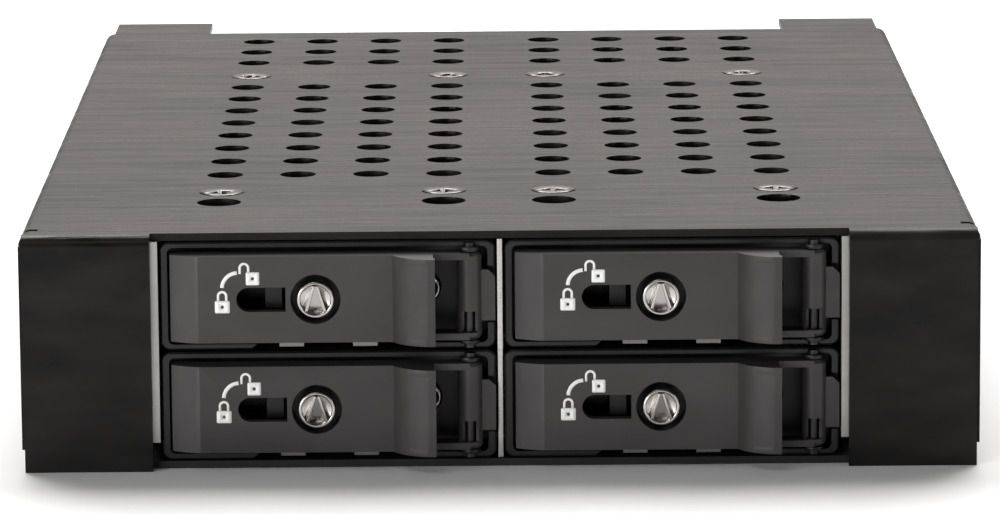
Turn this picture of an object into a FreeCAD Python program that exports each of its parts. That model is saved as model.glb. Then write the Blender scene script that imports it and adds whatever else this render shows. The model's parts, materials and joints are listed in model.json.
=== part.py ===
"""Hot swap cage that holds four small solid-state drives in one external 3.5 inch bay.

A folded outer cover and a base pan form the box.  Two side liners and a centre divider
guide four trays, which plug into a backplane board.  Each tray has a front frame with a
hinged lever, a quarter turn lock on the lever, and a carrier for one drive.

Millimetres, +X right, +Y to the rear, +Z up.  Shapes are drawn from the front plane
(y = 0 on the ears' front face, z = 0 under the base) and moved on export, so that the
origin is on the base face, half way along the body.
"""
import FreeCAD, Part
import os
from math import sqrt

V = FreeCAD.Vector
X_AXIS, Y_AXIS, Z_AXIS = V(1, 0, 0), V(0, 1, 0), V(0, 0, 1)

# --- bay envelope -------------------------------------------------------------------
BODY_WIDTH = 101.6
BODY_HEIGHT = 25.4
BODY_LENGTH = 146.2

# --- sheet metal --------------------------------------------------------------------
COVER_SHEET = 0.8
BASE_SHEET = 0.8
LINER_SHEET = 0.8
DIVIDER_SHEET = 0.6
SHELF_SHEET = 0.6
REAR_SHEET = 0.8
BEND_RADIUS = 1.2
SEAM = 0.05

# --- outer cover --------------------------------------------------------------------
LIP_SETBACK = 1.6
EAR_INSET = 0.35
SIDE_LIFT = 2.3
REAR_TAB_LENGTH = 9.0
REAR_TAB_INSET = 0.4
RELIEF_WIDTH = 1.4
RELIEF_DEPTH = 1.0
RELIEF_OVERSHOOT = 0.7
RELIEF_FROM_FRONT = 3.6
VENT_RADIUS = 2.0
VENT_COLUMN_PITCH = 8.14
VENT_ROW_PITCH = 9.0
VENT_COLUMNS = 4
VENT_FIRST_COLUMN = 6.08
FRONT_VENT_START = 37.6
FRONT_VENT_END_GAP = 8.0
REAR_VENT_ROWS = 3
REAR_VENT_FROM_BACK = 7.8
ACCESS_HOLE_RADIUS = 2.4
ACCESS_HOLE_Y = 20.1
COVER_SCREW_X = (6.0, 30.4)
COVER_SCREW_FRONT = 26.5
COVER_SCREW_FROM_BACK = 36.7
COVER_SCREW_LENGTH = 2.0
COVER_HEAD_RADIUS = 2.45
COVER_SHANK_RADIUS = 1.2
SCREW_CLEARANCE = 0.05
CUT_MARGIN = 1.0

# --- base pan and bay mounting holes ------------------------------------------------
BASE_FLANGE_HEIGHT = 11.0
BASE_FLANGE_SETBACK = 2.4
MOUNT_HOLE_RADIUS = 1.5
MOUNT_COLLAR_WALL = 0.8
MOUNT_COLLAR_HEIGHT = 1.2
SIDE_HOLE_HEIGHT = 6.35
SIDE_HOLE_FRONT = 16.9
SIDE_HOLE_SPACING = 101.6
SIDE_HOLE_MIDDLE = 60.0
BASE_HOLE_INSET = 3.175
BASE_HOLE_SPACING_Y = 44.45
BASE_HOLE_REAR = 105.7
BASE_HOLE_EXTRA = 76.2
BASE_SCREW_FRONT = 24.0
BASE_SCREW_FROM_END = 10.8
BASE_SCREW_HEAD_RADIUS = 2.2
BASE_SCREW_SHANK_RADIUS = 1.2
BASE_SCREW_LENGTH = 3.0

# --- liners, divider, shelves and guide ribs ------------------------------------------
LINER_FRONT_FLANGE = 7.0
LINER_FOOT_GAP = 4.25
SCREW_TAB_REACH = 3.1
SCREW_TAB_HALF = 3.8
LINER_STRIP_BOTTOM = 2.95
DIVIDER_FOOT = 6.0
DIVIDER_LOWER_SETBACK = 1.1
FLANGE_START = 12.0
FLANGE_END_GAP = 4.0
RIB_REACH = 1.0
RIB_HALF_HEIGHT = 0.7
RIB_CREST = 0.49
RIB_GAP = 0.25
SHELF_START = 9.0
SHELF_SLOT_WIDTH = 5.0
SHELF_SLOTS = 4

# --- tray frame ---------------------------------------------------------------------
FRAME_WIDTH = 35.5
TRAY_SIDE_GAP = 0.15
TRAY_EDGE_GAP = 0.15
ROW_GAP = 0.2
FRAME_FRONT = 1.5
RIM_SIDE = 0.85
RIM_EDGE = 0.65
FRAME_CORNER_RADIUS = 1.0
RECESS_CORNER_RADIUS = 0.6
FRAME_CHAMFER = 0.2
RECESS_DEPTH = 4.5
RECESS_FLOOR = 1.0
RIM_NOTCH_LEFT = -8.3
RIM_NOTCH_RIGHT = 10.2
RIM_NOTCH_SLOPE = 0.9
RIM_NOTCH_DEPTH = 3.6
FRAME_SCREW_X = (-12.0, 10.3)
FRAME_SCREW_HEAD_RADIUS = 1.7
FRAME_SCREW_HEAD_HEIGHT = 1.0
FRAME_SCREW_CHAMFER = 0.45
FRAME_SCREW_SHANK_RADIUS = 0.8

# --- lever --------------------------------------------------------------------------
LEVER_EDGE_GAP = 0.525
LEVER_LEFT = -16.6
LEVER_TIP_SWEEP = 3.0
LEVER_TIP_DROP = 0.7
LEVER_PROUD = 2.2
LEVER_PLATE = 0.9
LEVER_FLANGE = 0.7
LEVER_FLANGE_DEPTH = 3.1
GRIP_START = 6.9
GRIP_END = 11.4
GRIP_RISE = 2.8
GRIP_BEAD = 0.7
GRIP_CORNER = 2.4
GRIP_CORNER_DROP = 0.4
GRIP_FOOT = 0.6
FLANGE_INSET = 0.2
FLANGE_DROP = 0.3
BARREL_X = 15.0
BARREL_RADIUS = 1.3
BARREL_SETBACK = 0.7
BARREL_CHAMFER = 0.35
PIN_RADIUS = 0.6
PIN_CLEARANCE = 0.05
PIN_INSET = 0.2
PIN_WINDOW_WIDTH = 1.7
PIN_WINDOW_RISE = 0.75
PIN_WINDOW_HEIGHT = 2.3
WASHER_RADIUS = 1.1
WASHER_GAP = 0.1
TAB_HEIGHT = 5.45
TAB_THICKNESS = 0.8
TAB_END_GAP = 0.05
TAB_CORNER = 0.7
TAB_ROOT = 0.9
TAB_PATH_GAP = 0.3

# --- quarter turn lock --------------------------------------------------------------
LOCK_X = -1.23
LOCK_HEAD_RADIUS = 1.95
LOCK_HEAD_PROUD = 0.4
LOCK_HEAD_LENGTH = 1.9
LOCK_HEAD_CHAMFER = 0.2
LOCK_HEAD_RIM = 0.35
LOCK_STEM_RADIUS = 1.1
LOCK_CLEARANCE = 0.05
CUP_RADIUS = 2.65
CUP_WALL = 0.5
CUP_FLOOR = 0.7
CUP_DEPTH = 2.8
LOCK_SLOT_LEFT = -9.58
LOCK_SLOT_HEIGHT = 2.6
POINTER_WIDTH = 1.5
POINTER_TIP_WIDTH = 0.38
POINTER_FOOT_GAP = 0.24
POINTER_TIP_GAP = 0.03
POINTER_DEPTH = 0.5
PAWL_THICKNESS = 0.8
PAWL_GAP = 0.2
PAWL_REACH = 4.3
PAWL_WIDTH = 1.8
PAWL_HUB_RADIUS = 1.7
KEEPER_LIP = 0.8
KEEPER_OVERLAP = 0.7
KEEPER_HALF_HEIGHT = 1.5
KEEPER_CLEARANCE = 0.3
KEEPER_WEB = 0.8

# --- drive carrier --------------------------------------------------------------------
SHORTEST_DRIVE = 30.0
DRIVE_WIDTH = 22.0
DRIVE_SPACE_HEIGHT = 4.4
CARRIER_BOTTOM = 0.925
CARRIER_FLOOR = 0.8
CARRIER_WALL = 0.7
CARRIER_RIB_GAP = 0.3
CARRIER_FRONT_PLATE = 0.8
RUNNER_THICKNESS = 0.7
RUNNER_SIDE_GAP = 0.3
TONGUE_X = 3.9
TONGUE_WIDTH = 2.6
TONGUE_HEIGHT = 0.8
TONGUE_FROM_FRONT = 0.9
TONGUE_LIFT = 0.15
TONGUE_CLEARANCE = 0.1
PAD_THICKNESS = 1.0
PAD_MARGIN = 3.0
PEDESTAL_HEIGHT = 1.0
PEDESTAL_WIDTH = 22.6
SPREADER_PLATE = 0.8
SPREADER_FRONT_GAP = 4.0
SPREADER_REAR_GAP = 2.0
FIN_COUNT = 9
FIN_WIDTH = 0.9
FIN_HEIGHT = 1.0
BOSS_RADIUS = 1.5
BOSS_BITE = 0.35
BOSS_FROM_END = 3.0
BOSS_HOLE_DEPTH = 3.0
SPREADER_SCREW_RADIUS = 0.7
SPREADER_SCREW_GRIP = 2.5
SPREADER_HEAD_RADIUS = 1.4
SPREADER_HEAD_HEIGHT = 0.6
CLIP_ROOM = 7.8
CLIP_LENGTH = 3.6
CLIP_WIDTH = 8.0
CLIP_HEIGHT = 3.4
CLIP_LIP = 0.8
CLIP_NECK_WIDTH = 2.6
CLIP_FOOT_WIDTH = 5.2
CLIP_FOOT_THICKNESS = 0.4
CLIP_GAP = 0.1
DRIVE_BOARD_GAP = 1.9
DRIVE_BOARD_THICKNESS = 0.8

# --- backplane ------------------------------------------------------------------------
REAR_PLATE_INSET = 0.8
PORT_ROOM = 10.2
BOARD_THICKNESS = 1.6
BOARD_SIDE_GAP = 0.1
BOARD_EDGE_GAP = 0.8
BOARD_SLOT_WIDTH = 16.0
BOARD_SLOT_HEIGHT = 3.0
BOARD_SLOT_CORNER = 1.2
SOCKET_DEPTH = 7.5
SOCKET_ENTRY = 3.9
SOCKET_WIDTH = 23.0
SOCKET_HEIGHT = 4.2
SOCKET_SLOT_WIDTH = 20.4
SOCKET_SLOT_HEIGHT = 1.0
SOCKET_BOTTOM_GAP = 0.3
SOCKET_MOUTH = 0.4
SOCKET_MOUTH_DEPTH = 0.8
CARRIER_REAR_GAP = 1.2
DATA_PORT_X = (-23.0, -6.5)
DATA_PORT_WIDTH = 14.4
DATA_PORT_HEIGHT = 5.6
DATA_PORT_WALL = 0.9
DATA_PORT_TONGUE = 0.8
POWER_PORT_X = 19.0
POWER_PORT_WIDTH = 22.4
POWER_PORT_HEIGHT = 6.2
POWER_PORT_WALL = 0.9
POWER_TONGUE = 1.2
PORT_PROUD = 0.6
PORT_CORNER = 0.6
PORT_FLOOR = 2.0
PORT_TONGUE_GAP = 1.0
PORT_WINDOW_GAP = 0.3
REAR_SLOTS = 6
REAR_SLOT_WIDTH = 2.0
REAR_SLOT_HEIGHT = 6.0
REAR_SLOT_CORNER = 0.9
REGULATOR_X, REGULATOR_SIZE, REGULATOR_HEIGHT = 19.6, 7.0, 1.0
CHOKE_X, CHOKE_SIZE, CHOKE_HEIGHT = 27.6, 6.5, 3.0
CLOCK_X, CLOCK_SIZE, CLOCK_HEIGHT = 10.4, 4.5, 1.2
BRIDGE_X, BRIDGE_SIZE, BRIDGE_HEIGHT = 4.5, 3.6, 0.9
CHIP_CHAMFER = 0.2
BOARD_TAB_WIDTH = 5.0
BOARD_TAB_HEIGHT = 8.0
BOARD_SCREW_RADIUS = 1.2
BOARD_SCREW_HEAD_RADIUS = 2.2
BOARD_SCREW_HEAD_HEIGHT = 1.2

# --- places worked out from the sizes ---------------------------------------------------
HALF_WIDTH = BODY_WIDTH / 2
TRAY_X = DIVIDER_SHEET / 2 + TRAY_SIDE_GAP + FRAME_WIDTH / 2
LINER_INNER = TRAY_X + FRAME_WIDTH / 2 + TRAY_SIDE_GAP
LINER_OUTER = LINER_INNER + LINER_SHEET
CAVITY_TOP = BODY_HEIGHT - COVER_SHEET
COVER_SCREW_Y = (COVER_SCREW_FRONT, BODY_LENGTH - COVER_SCREW_FROM_BACK)
REAR_VENT_START = BODY_LENGTH - REAR_VENT_FROM_BACK - (REAR_VENT_ROWS - 1) * VENT_ROW_PITCH
FRONT_VENT_ROWS = 1 + int((COVER_SCREW_Y[1] - FRONT_VENT_END_GAP - FRONT_VENT_START) / VENT_ROW_PITCH)
PAN_EDGE = HALF_WIDTH - COVER_SHEET - SEAM
LINER_FOOT = PAN_EDGE - BASE_SHEET - LINER_FOOT_GAP - LINER_OUTER
FRAME_HEIGHT = (CAVITY_TOP - BASE_SHEET - 2 * TRAY_EDGE_GAP - ROW_GAP) / 2
LEVER_HEIGHT = FRAME_HEIGHT - 2 * (RIM_EDGE + LEVER_EDGE_GAP)
LOWER_Z = BASE_SHEET + TRAY_EDGE_GAP + FRAME_HEIGHT / 2
UPPER_Z = LOWER_Z + FRAME_HEIGHT + ROW_GAP
MIDDLE_Z = (LOWER_Z + UPPER_Z) / 2
FLOOR_FRONT = FRAME_FRONT + RECESS_DEPTH
CARRIER_FRONT = FLOOR_FRONT + RECESS_FLOOR
REAR_PLATE_BACK = BODY_LENGTH - REAR_PLATE_INSET
REAR_PLATE_FRONT = REAR_PLATE_BACK - REAR_SHEET
BOARD_BACK = REAR_PLATE_FRONT - PORT_ROOM
BOARD_FRONT = BOARD_BACK - BOARD_THICKNESS
SOCKET_FRONT = BOARD_FRONT - SOCKET_DEPTH
FLANGE_END = BOARD_FRONT - FLANGE_END_GAP
BASE_SCREW_Y = (BASE_SCREW_FRONT, FLANGE_END - BASE_SCREW_FROM_END)
DRIVE_REAR = SOCKET_FRONT + SOCKET_ENTRY
CLIP_FRONT = CARRIER_FRONT + CARRIER_FRONT_PLATE + CLIP_ROOM
DRIVE_FRONT = CLIP_FRONT + CLIP_LENGTH
DRIVE_LENGTH = DRIVE_REAR - DRIVE_FRONT
CLIP_TRAVEL = DRIVE_LENGTH - SHORTEST_DRIVE
CARRIER_REAR = SOCKET_FRONT - CARRIER_REAR_GAP
SLAB_BOTTOM = -FRAME_HEIGHT / 2 + CARRIER_BOTTOM
SLAB_TOP = SLAB_BOTTOM + CARRIER_FLOOR
DRIVE_SPACE_LOW = SLAB_TOP + CLIP_GAP
DRIVE_SPACE_HIGH = DRIVE_SPACE_LOW + DRIVE_SPACE_HEIGHT
PAD_BOTTOM = DRIVE_SPACE_HIGH + CLIP_GAP
PAD_TOP = PAD_BOTTOM + PAD_THICKNESS
WALL_TOP = PAD_TOP + PEDESTAL_HEIGHT
SPREADER_FRONT = CARRIER_FRONT + SPREADER_FRONT_GAP
SPREADER_REAR = CARRIER_REAR - SPREADER_REAR_GAP
LEVER_FACE = FRAME_FRONT - LEVER_PROUD
HINGE_Y = LEVER_FACE + BARREL_SETBACK + BARREL_RADIUS
CUP_BACK = LEVER_FACE + LEVER_PLATE + CUP_DEPTH
PAWL_FRONT = CUP_BACK + PAWL_GAP
TAB_REACH = FRAME_WIDTH / 2 - TAB_END_GAP - BARREL_X
RIB_TIP = FRAME_WIDTH / 2 + TRAY_SIDE_GAP - RIB_REACH
CARRIER_HALF = RIB_TIP - CARRIER_RIB_GAP - CARRIER_WALL
LUG_FRONT = HINGE_Y + sqrt(TAB_REACH ** 2 - (RIB_TIP - BARREL_X) ** 2) + TAB_PATH_GAP
DRIVE_BOARD_Z = DRIVE_SPACE_LOW + DRIVE_BOARD_GAP
TRAYS = {
    "lower_left": (-TRAY_X, LOWER_Z),
    "lower_right": (TRAY_X, LOWER_Z),
    "upper_left": (-TRAY_X, UPPER_Z),
    "upper_right": (TRAY_X, UPPER_Z),
}
ORIGIN = V(0, BODY_LENGTH / 2, 0)


# --- small tools ------------------------------------------------------------------------
def block(x0, x1, y0, y1, z0, z1):
    """Box between two corners, in any order."""
    x0, x1 = sorted((x0, x1))
    y0, y1 = sorted((y0, y1))
    z0, z1 = sorted((z0, z1))
    return Part.makeBox(x1 - x0, y1 - y0, z1 - z0, V(x0, y0, z0))


def rod(x, y, z, radius, length, axis):
    """Cylinder that starts at a point and runs along an axis."""
    return Part.makeCylinder(radius, length, V(x, y, z), axis)


def prism(corners, along):
    """Solid of a closed outline pushed along a vector."""
    return Part.Face(Part.makePolygon(corners + corners[:1])).extrude(along)


def soft_block(x0, x1, y0, y1, z0, z1, radius):
    """Box whose four edges along Y are rounded."""
    shape = block(x0, x1, y0, y1, z0, z1)
    return shape.makeFillet(radius, edges_along(shape, Y_AXIS))


def edges_along(shape, axis, test=lambda centre: True):
    """Straight edges parallel to an axis whose centre passes a test."""
    found = []
    for edge in shape.Edges:
        start, end = edge.Vertexes[0].Point, edge.Vertexes[-1].Point
        if (end - start).cross(axis).Length < 1e-6 and test(edge.CenterOfMass):
            found.append(edge)
    return found


def fused(shapes):
    """One solid from touching shapes, with the seams between them removed."""
    return shapes[0].fuse(shapes[1:]).removeSplitter()


def moved(shape, x=0.0, y=0.0, z=0.0):
    """Copy of a shape at another place."""
    copy = shape.copy()
    copy.translate(V(x, y, z))
    return copy


# --- outer cover and its screws -----------------------------------------------------------
def cover_holes():
    """Vent holes, screwdriver access holes and countersunk screw seats of the top."""
    depth = COVER_SHEET + 2 * CUT_MARGIN
    low = CAVITY_TOP - CUT_MARGIN
    groups = ((FRONT_VENT_START, FRONT_VENT_ROWS), (REAR_VENT_START, REAR_VENT_ROWS))
    holes = []
    for side in (-1, 1):
        for column in range(VENT_COLUMNS):
            x = side * (VENT_FIRST_COLUMN + column * VENT_COLUMN_PITCH)
            for start, rows in groups:
                for row in range(rows):
                    holes.append(rod(x, start + row * VENT_ROW_PITCH, low, VENT_RADIUS, depth, Z_AXIS))
        for x in COVER_SCREW_X:
            holes.append(rod(side * x, ACCESS_HOLE_Y, low, ACCESS_HOLE_RADIUS, depth, Z_AXIS))
            for y in COVER_SCREW_Y:
                holes.append(Part.makeCone(COVER_HEAD_RADIUS - COVER_SHEET + SCREW_CLEARANCE,
                                           COVER_HEAD_RADIUS + SCREW_CLEARANCE, COVER_SHEET,
                                           V(side * x, y, CAVITY_TOP)))
    return holes


def outer_cover():
    """Folded sheet: top, two sides, two front ears and two rear tabs."""
    inner_radius = BEND_RADIUS - COVER_SHEET
    top_edge = lambda centre: centre.z > BODY_HEIGHT / 2
    outer = block(-HALF_WIDTH, HALF_WIDTH, LIP_SETBACK, BODY_LENGTH, SIDE_LIFT, BODY_HEIGHT)
    outer = outer.makeFillet(BEND_RADIUS, edges_along(outer, Y_AXIS, top_edge))
    inside = HALF_WIDTH - COVER_SHEET
    hollow = block(-inside, inside, 0, BODY_LENGTH + CUT_MARGIN, 0, CAVITY_TOP)
    hollow = hollow.makeFillet(inner_radius, edges_along(hollow, Y_AXIS, top_edge))
    pieces = [outer.cut(hollow)]
    front_top = lambda centre: centre.z > BODY_HEIGHT / 2 and centre.y < LIP_SETBACK
    for side in (-1, 1):
        edge = side * (HALF_WIDTH - EAR_INSET)
        ear = block(side * LINER_OUTER, edge, 0, LIP_SETBACK, 0, BODY_HEIGHT)
        ear = ear.makeFillet(BEND_RADIUS, edges_along(ear, X_AXIS, front_top))
        back = block(side * (LINER_OUTER - CUT_MARGIN), side * HALF_WIDTH, COVER_SHEET,
                     2 * LIP_SETBACK, -CUT_MARGIN, CAVITY_TOP)
        back = back.makeFillet(inner_radius, edges_along(back, X_AXIS, front_top))
        pieces.append(ear.cut(back))
        pieces.append(block(side * inside, side * HALF_WIDTH, COVER_SHEET + SEAM, LIP_SETBACK,
                            SIDE_LIFT, BODY_HEIGHT - BEND_RADIUS))
        pieces.append(block(side * (LINER_OUTER + REAR_TAB_INSET), side * (HALF_WIDTH - BEND_RADIUS),
                            BODY_LENGTH, BODY_LENGTH + REAR_TAB_LENGTH, CAVITY_TOP, BODY_HEIGHT))
    cover = fused(pieces)
    cuts = cover_holes()
    for side in (-1, 1):
        slit_x = side * (HALF_WIDTH - BEND_RADIUS + RELIEF_OVERSHOOT)
        cuts.append(block(slit_x, slit_x - side * RELIEF_WIDTH, RELIEF_FROM_FRONT,
                          RELIEF_FROM_FRONT + RELIEF_DEPTH, CAVITY_TOP - CUT_MARGIN,
                          BODY_HEIGHT + CUT_MARGIN))
        for y in side_hole_places():
            cuts.append(rod(side * (HALF_WIDTH + CUT_MARGIN), y, SIDE_HOLE_HEIGHT, MOUNT_HOLE_RADIUS,
                            COVER_SHEET + 2 * CUT_MARGIN, X_AXIS * -side))
    return cover.cut(Part.Compound(cuts))


def side_hole_places():
    """Distances from the front of the three bay mounting holes in each side."""
    return (SIDE_HOLE_FRONT, SIDE_HOLE_FRONT + SIDE_HOLE_MIDDLE, SIDE_HOLE_FRONT + SIDE_HOLE_SPACING)


def base_hole_places():
    """Distances from the front of the three bay mounting holes in each edge of the base."""
    return (BASE_HOLE_REAR - BASE_HOLE_EXTRA, BASE_HOLE_REAR - BASE_HOLE_SPACING_Y, BASE_HOLE_REAR)


def cover_screws():
    """Countersunk screws that hold the cover to the liners and the divider."""
    screws = []
    for x in [side * place for side in (-1, 1) for place in COVER_SCREW_X]:
        for y in COVER_SCREW_Y:
            head = Part.makeCone(COVER_HEAD_RADIUS - COVER_SHEET, COVER_HEAD_RADIUS, COVER_SHEET,
                                 V(x, y, CAVITY_TOP))
            shank = rod(x, y, BODY_HEIGHT - COVER_SCREW_LENGTH, COVER_SHANK_RADIUS,
                        COVER_SCREW_LENGTH, Z_AXIS)
            screws.append(fused([head, shank]))
    return Part.Compound(screws)


# --- base pan and its screws ----------------------------------------------------------------
def base_screw_x():
    """Distance of the base screws from the middle: the middle of a liner's foot."""
    return LINER_OUTER + LINER_FOOT / 2


def base_pan():
    """Bottom sheet with two upright flanges that stand just inside the cover's sides."""
    inner = PAN_EDGE - BASE_SHEET
    pieces = [block(-PAN_EDGE, PAN_EDGE, LIP_SETBACK, BODY_LENGTH, 0, BASE_SHEET)]
    holes = []
    collar_radius = MOUNT_HOLE_RADIUS + MOUNT_COLLAR_WALL
    depth = BASE_SHEET + MOUNT_COLLAR_HEIGHT + 2 * CUT_MARGIN
    for side in (-1, 1):
        pieces.append(block(side * PAN_EDGE, side * inner, BASE_FLANGE_SETBACK, BODY_LENGTH, BASE_SHEET,
                            BASE_FLANGE_HEIGHT))
        for y in side_hole_places():
            pieces.append(rod(side * inner, y, SIDE_HOLE_HEIGHT, collar_radius, MOUNT_COLLAR_HEIGHT,
                              X_AXIS * -side))
            holes.append(rod(side * (PAN_EDGE + CUT_MARGIN), y, SIDE_HOLE_HEIGHT, MOUNT_HOLE_RADIUS, depth,
                             X_AXIS * -side))
        for y in base_hole_places():
            x = side * (HALF_WIDTH - BASE_HOLE_INSET)
            pieces.append(rod(x, y, BASE_SHEET, collar_radius, MOUNT_COLLAR_HEIGHT, Z_AXIS))
            holes.append(rod(x, y, -CUT_MARGIN, MOUNT_HOLE_RADIUS, depth, Z_AXIS))
        for y in BASE_SCREW_Y:
            holes.append(Part.makeCone(BASE_SCREW_HEAD_RADIUS + SCREW_CLEARANCE,
                                       BASE_SCREW_HEAD_RADIUS - BASE_SHEET + SCREW_CLEARANCE, BASE_SHEET,
                                       V(side * base_screw_x(), y, 0)))
    return fused(pieces).cut(Part.Compound(holes))


def base_screws():
    """Countersunk screws from below into the liners' feet."""
    screws = []
    for x in (-base_screw_x(), base_screw_x()):
        for y in BASE_SCREW_Y:
            head = Part.makeCone(BASE_SCREW_HEAD_RADIUS, BASE_SCREW_HEAD_RADIUS - BASE_SHEET, BASE_SHEET,
                                 V(x, y, 0))
            screws.append(fused([head, rod(x, y, 0, BASE_SCREW_SHANK_RADIUS, BASE_SCREW_LENGTH, Z_AXIS)]))
    return Part.Compound(screws)


# --- liners, divider and shelves ---------------------------------------------------------------
def guide_rib(face_x, towards, centre_z, start):
    """Pressed rib that a tray's runners slide on, with sloped flanks."""
    tip = face_x + towards * RIB_REACH
    outline = [V(face_x, start, centre_z - RIB_HALF_HEIGHT), V(tip, start, centre_z - RIB_CREST),
               V(tip, start, centre_z + RIB_CREST), V(face_x, start, centre_z + RIB_HALF_HEIGHT)]
    return prism(outline, V(0, SOCKET_FRONT - start, 0))


def screw_tabs(x0, x1):
    """Short top flanges under the cover, one at each row of cover screws."""
    return [block(x0, x1, y - SCREW_TAB_HALF, y + SCREW_TAB_HALF, CAVITY_TOP - LINER_SHEET, CAVITY_TOP)
            for y in COVER_SCREW_Y]


def side_liner(side):
    """Bare sheet wall beside the trays: front flange, foot, screw tabs, ribs, board tab."""
    inner, outer = side * LINER_INNER, side * LINER_OUTER
    front = COVER_SHEET + SEAM
    rib_start = LUG_FRONT if side > 0 else CARRIER_FRONT
    board_tab = inner - side * BOARD_TAB_WIDTH
    pieces = [
        block(inner, outer, front, REAR_PLATE_BACK, LINER_STRIP_BOTTOM, CAVITY_TOP),
        block(inner, outer, FLANGE_START, REAR_PLATE_BACK, BASE_SHEET, LINER_STRIP_BOTTOM),
        block(outer, outer + side * LINER_FRONT_FLANGE, front, front + LINER_SHEET, LINER_STRIP_BOTTOM,
              CAVITY_TOP - BEND_RADIUS),
        block(outer, outer + side * LINER_FOOT, FLANGE_START, FLANGE_END, BASE_SHEET,
              BASE_SHEET + LINER_SHEET),
        block(inner, board_tab, BOARD_BACK, BOARD_BACK + LINER_SHEET, MIDDLE_Z - BOARD_TAB_HEIGHT / 2,
              MIDDLE_Z + BOARD_TAB_HEIGHT / 2),
    ]
    pieces += [guide_rib(inner, -side, z, rib_start) for z in (LOWER_Z, UPPER_Z)]
    pieces += screw_tabs(inner, side * (COVER_SCREW_X[1] - SCREW_TAB_REACH))
    depth = LINER_SHEET + 2 * CUT_MARGIN
    holes = cover_screw_holes(side * COVER_SCREW_X[1])
    holes += [rod(side * base_screw_x(), y, BASE_SHEET - CUT_MARGIN, BASE_SCREW_SHANK_RADIUS, depth, Z_AXIS)
              for y in BASE_SCREW_Y]
    holes.append(rod(side * board_screw_x(), BOARD_BACK - CUT_MARGIN, MIDDLE_Z, BOARD_SCREW_RADIUS, depth,
                     Y_AXIS))
    return fused(pieces).cut(Part.Compound(holes))


def cover_screw_holes(x):
    """Holes in the screw tabs at one distance from the middle."""
    return [rod(x, y, CAVITY_TOP - LINER_SHEET - CUT_MARGIN, COVER_SHANK_RADIUS,
                LINER_SHEET + 2 * CUT_MARGIN, Z_AXIS) for y in COVER_SCREW_Y]


def board_screw_x():
    """Distance of the backplane screws from the middle: the middle of a liner's board tab."""
    return LINER_INNER - BOARD_TAB_WIDTH / 2


def centre_divider():
    """Bare sheet wall between the two columns, with screw tabs, feet and ribs."""
    half = DIVIDER_SHEET / 2
    front = COVER_SHEET + SEAM
    tab = COVER_SCREW_X[0] + SCREW_TAB_REACH
    pieces = [
        block(-half, half, front, BOARD_FRONT, MIDDLE_Z, CAVITY_TOP),
        block(-half, half, front + DIVIDER_LOWER_SETBACK, BOARD_FRONT, BASE_SHEET, MIDDLE_Z),
        block(-DIVIDER_FOOT, DIVIDER_FOOT, FLANGE_START, FLANGE_END, BASE_SHEET,
              BASE_SHEET + DIVIDER_SHEET),
    ] + screw_tabs(-tab, tab)
    for z in (LOWER_Z, UPPER_Z):
        pieces.append(guide_rib(-half, -1, z, LUG_FRONT))
        pieces.append(guide_rib(half, 1, z, CARRIER_FRONT))
    holes = cover_screw_holes(-COVER_SCREW_X[0]) + cover_screw_holes(COVER_SCREW_X[0])
    return fused(pieces).cut(Part.Compound(holes))


def bay_shelves():
    """Slotted sheets between the lower and upper trays, one per column."""
    low, high = MIDDLE_Z - SHELF_SHEET / 2, MIDDLE_Z + SHELF_SHEET / 2
    near, far = DIVIDER_SHEET / 2, LINER_INNER
    web = (far - near - SHELF_SLOTS * SHELF_SLOT_WIDTH) / (SHELF_SLOTS + 1)
    shelves = []
    for side in (-1, 1):
        shelf = block(side * near, side * far, SHELF_START, FLANGE_END, low, high)
        slots = []
        for index in range(SHELF_SLOTS):
            x = side * (near + web + index * (SHELF_SLOT_WIDTH + web))
            slots.append(soft_slot(x, x + side * SHELF_SLOT_WIDTH, SHELF_START + 2 * web,
                                   FLANGE_END - 2 * web, low, high))
        shelves.append(shelf.cut(Part.Compound(slots)))
    return Part.Compound(shelves)


def soft_slot(x0, x1, y0, y1, z0, z1):
    """Cutter for a long slot with round ends, through a level sheet."""
    radius = abs(x1 - x0) / 2
    middle = (x0 + x1) / 2
    low, high = z0 - CUT_MARGIN, z1 + CUT_MARGIN
    ends = [rod(middle, y, low, radius, high - low, Z_AXIS) for y in (y0 + radius, y1 - radius)]
    return fused([block(x0, x1, y0 + radius, y1 - radius, low, high)] + ends)


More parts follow.
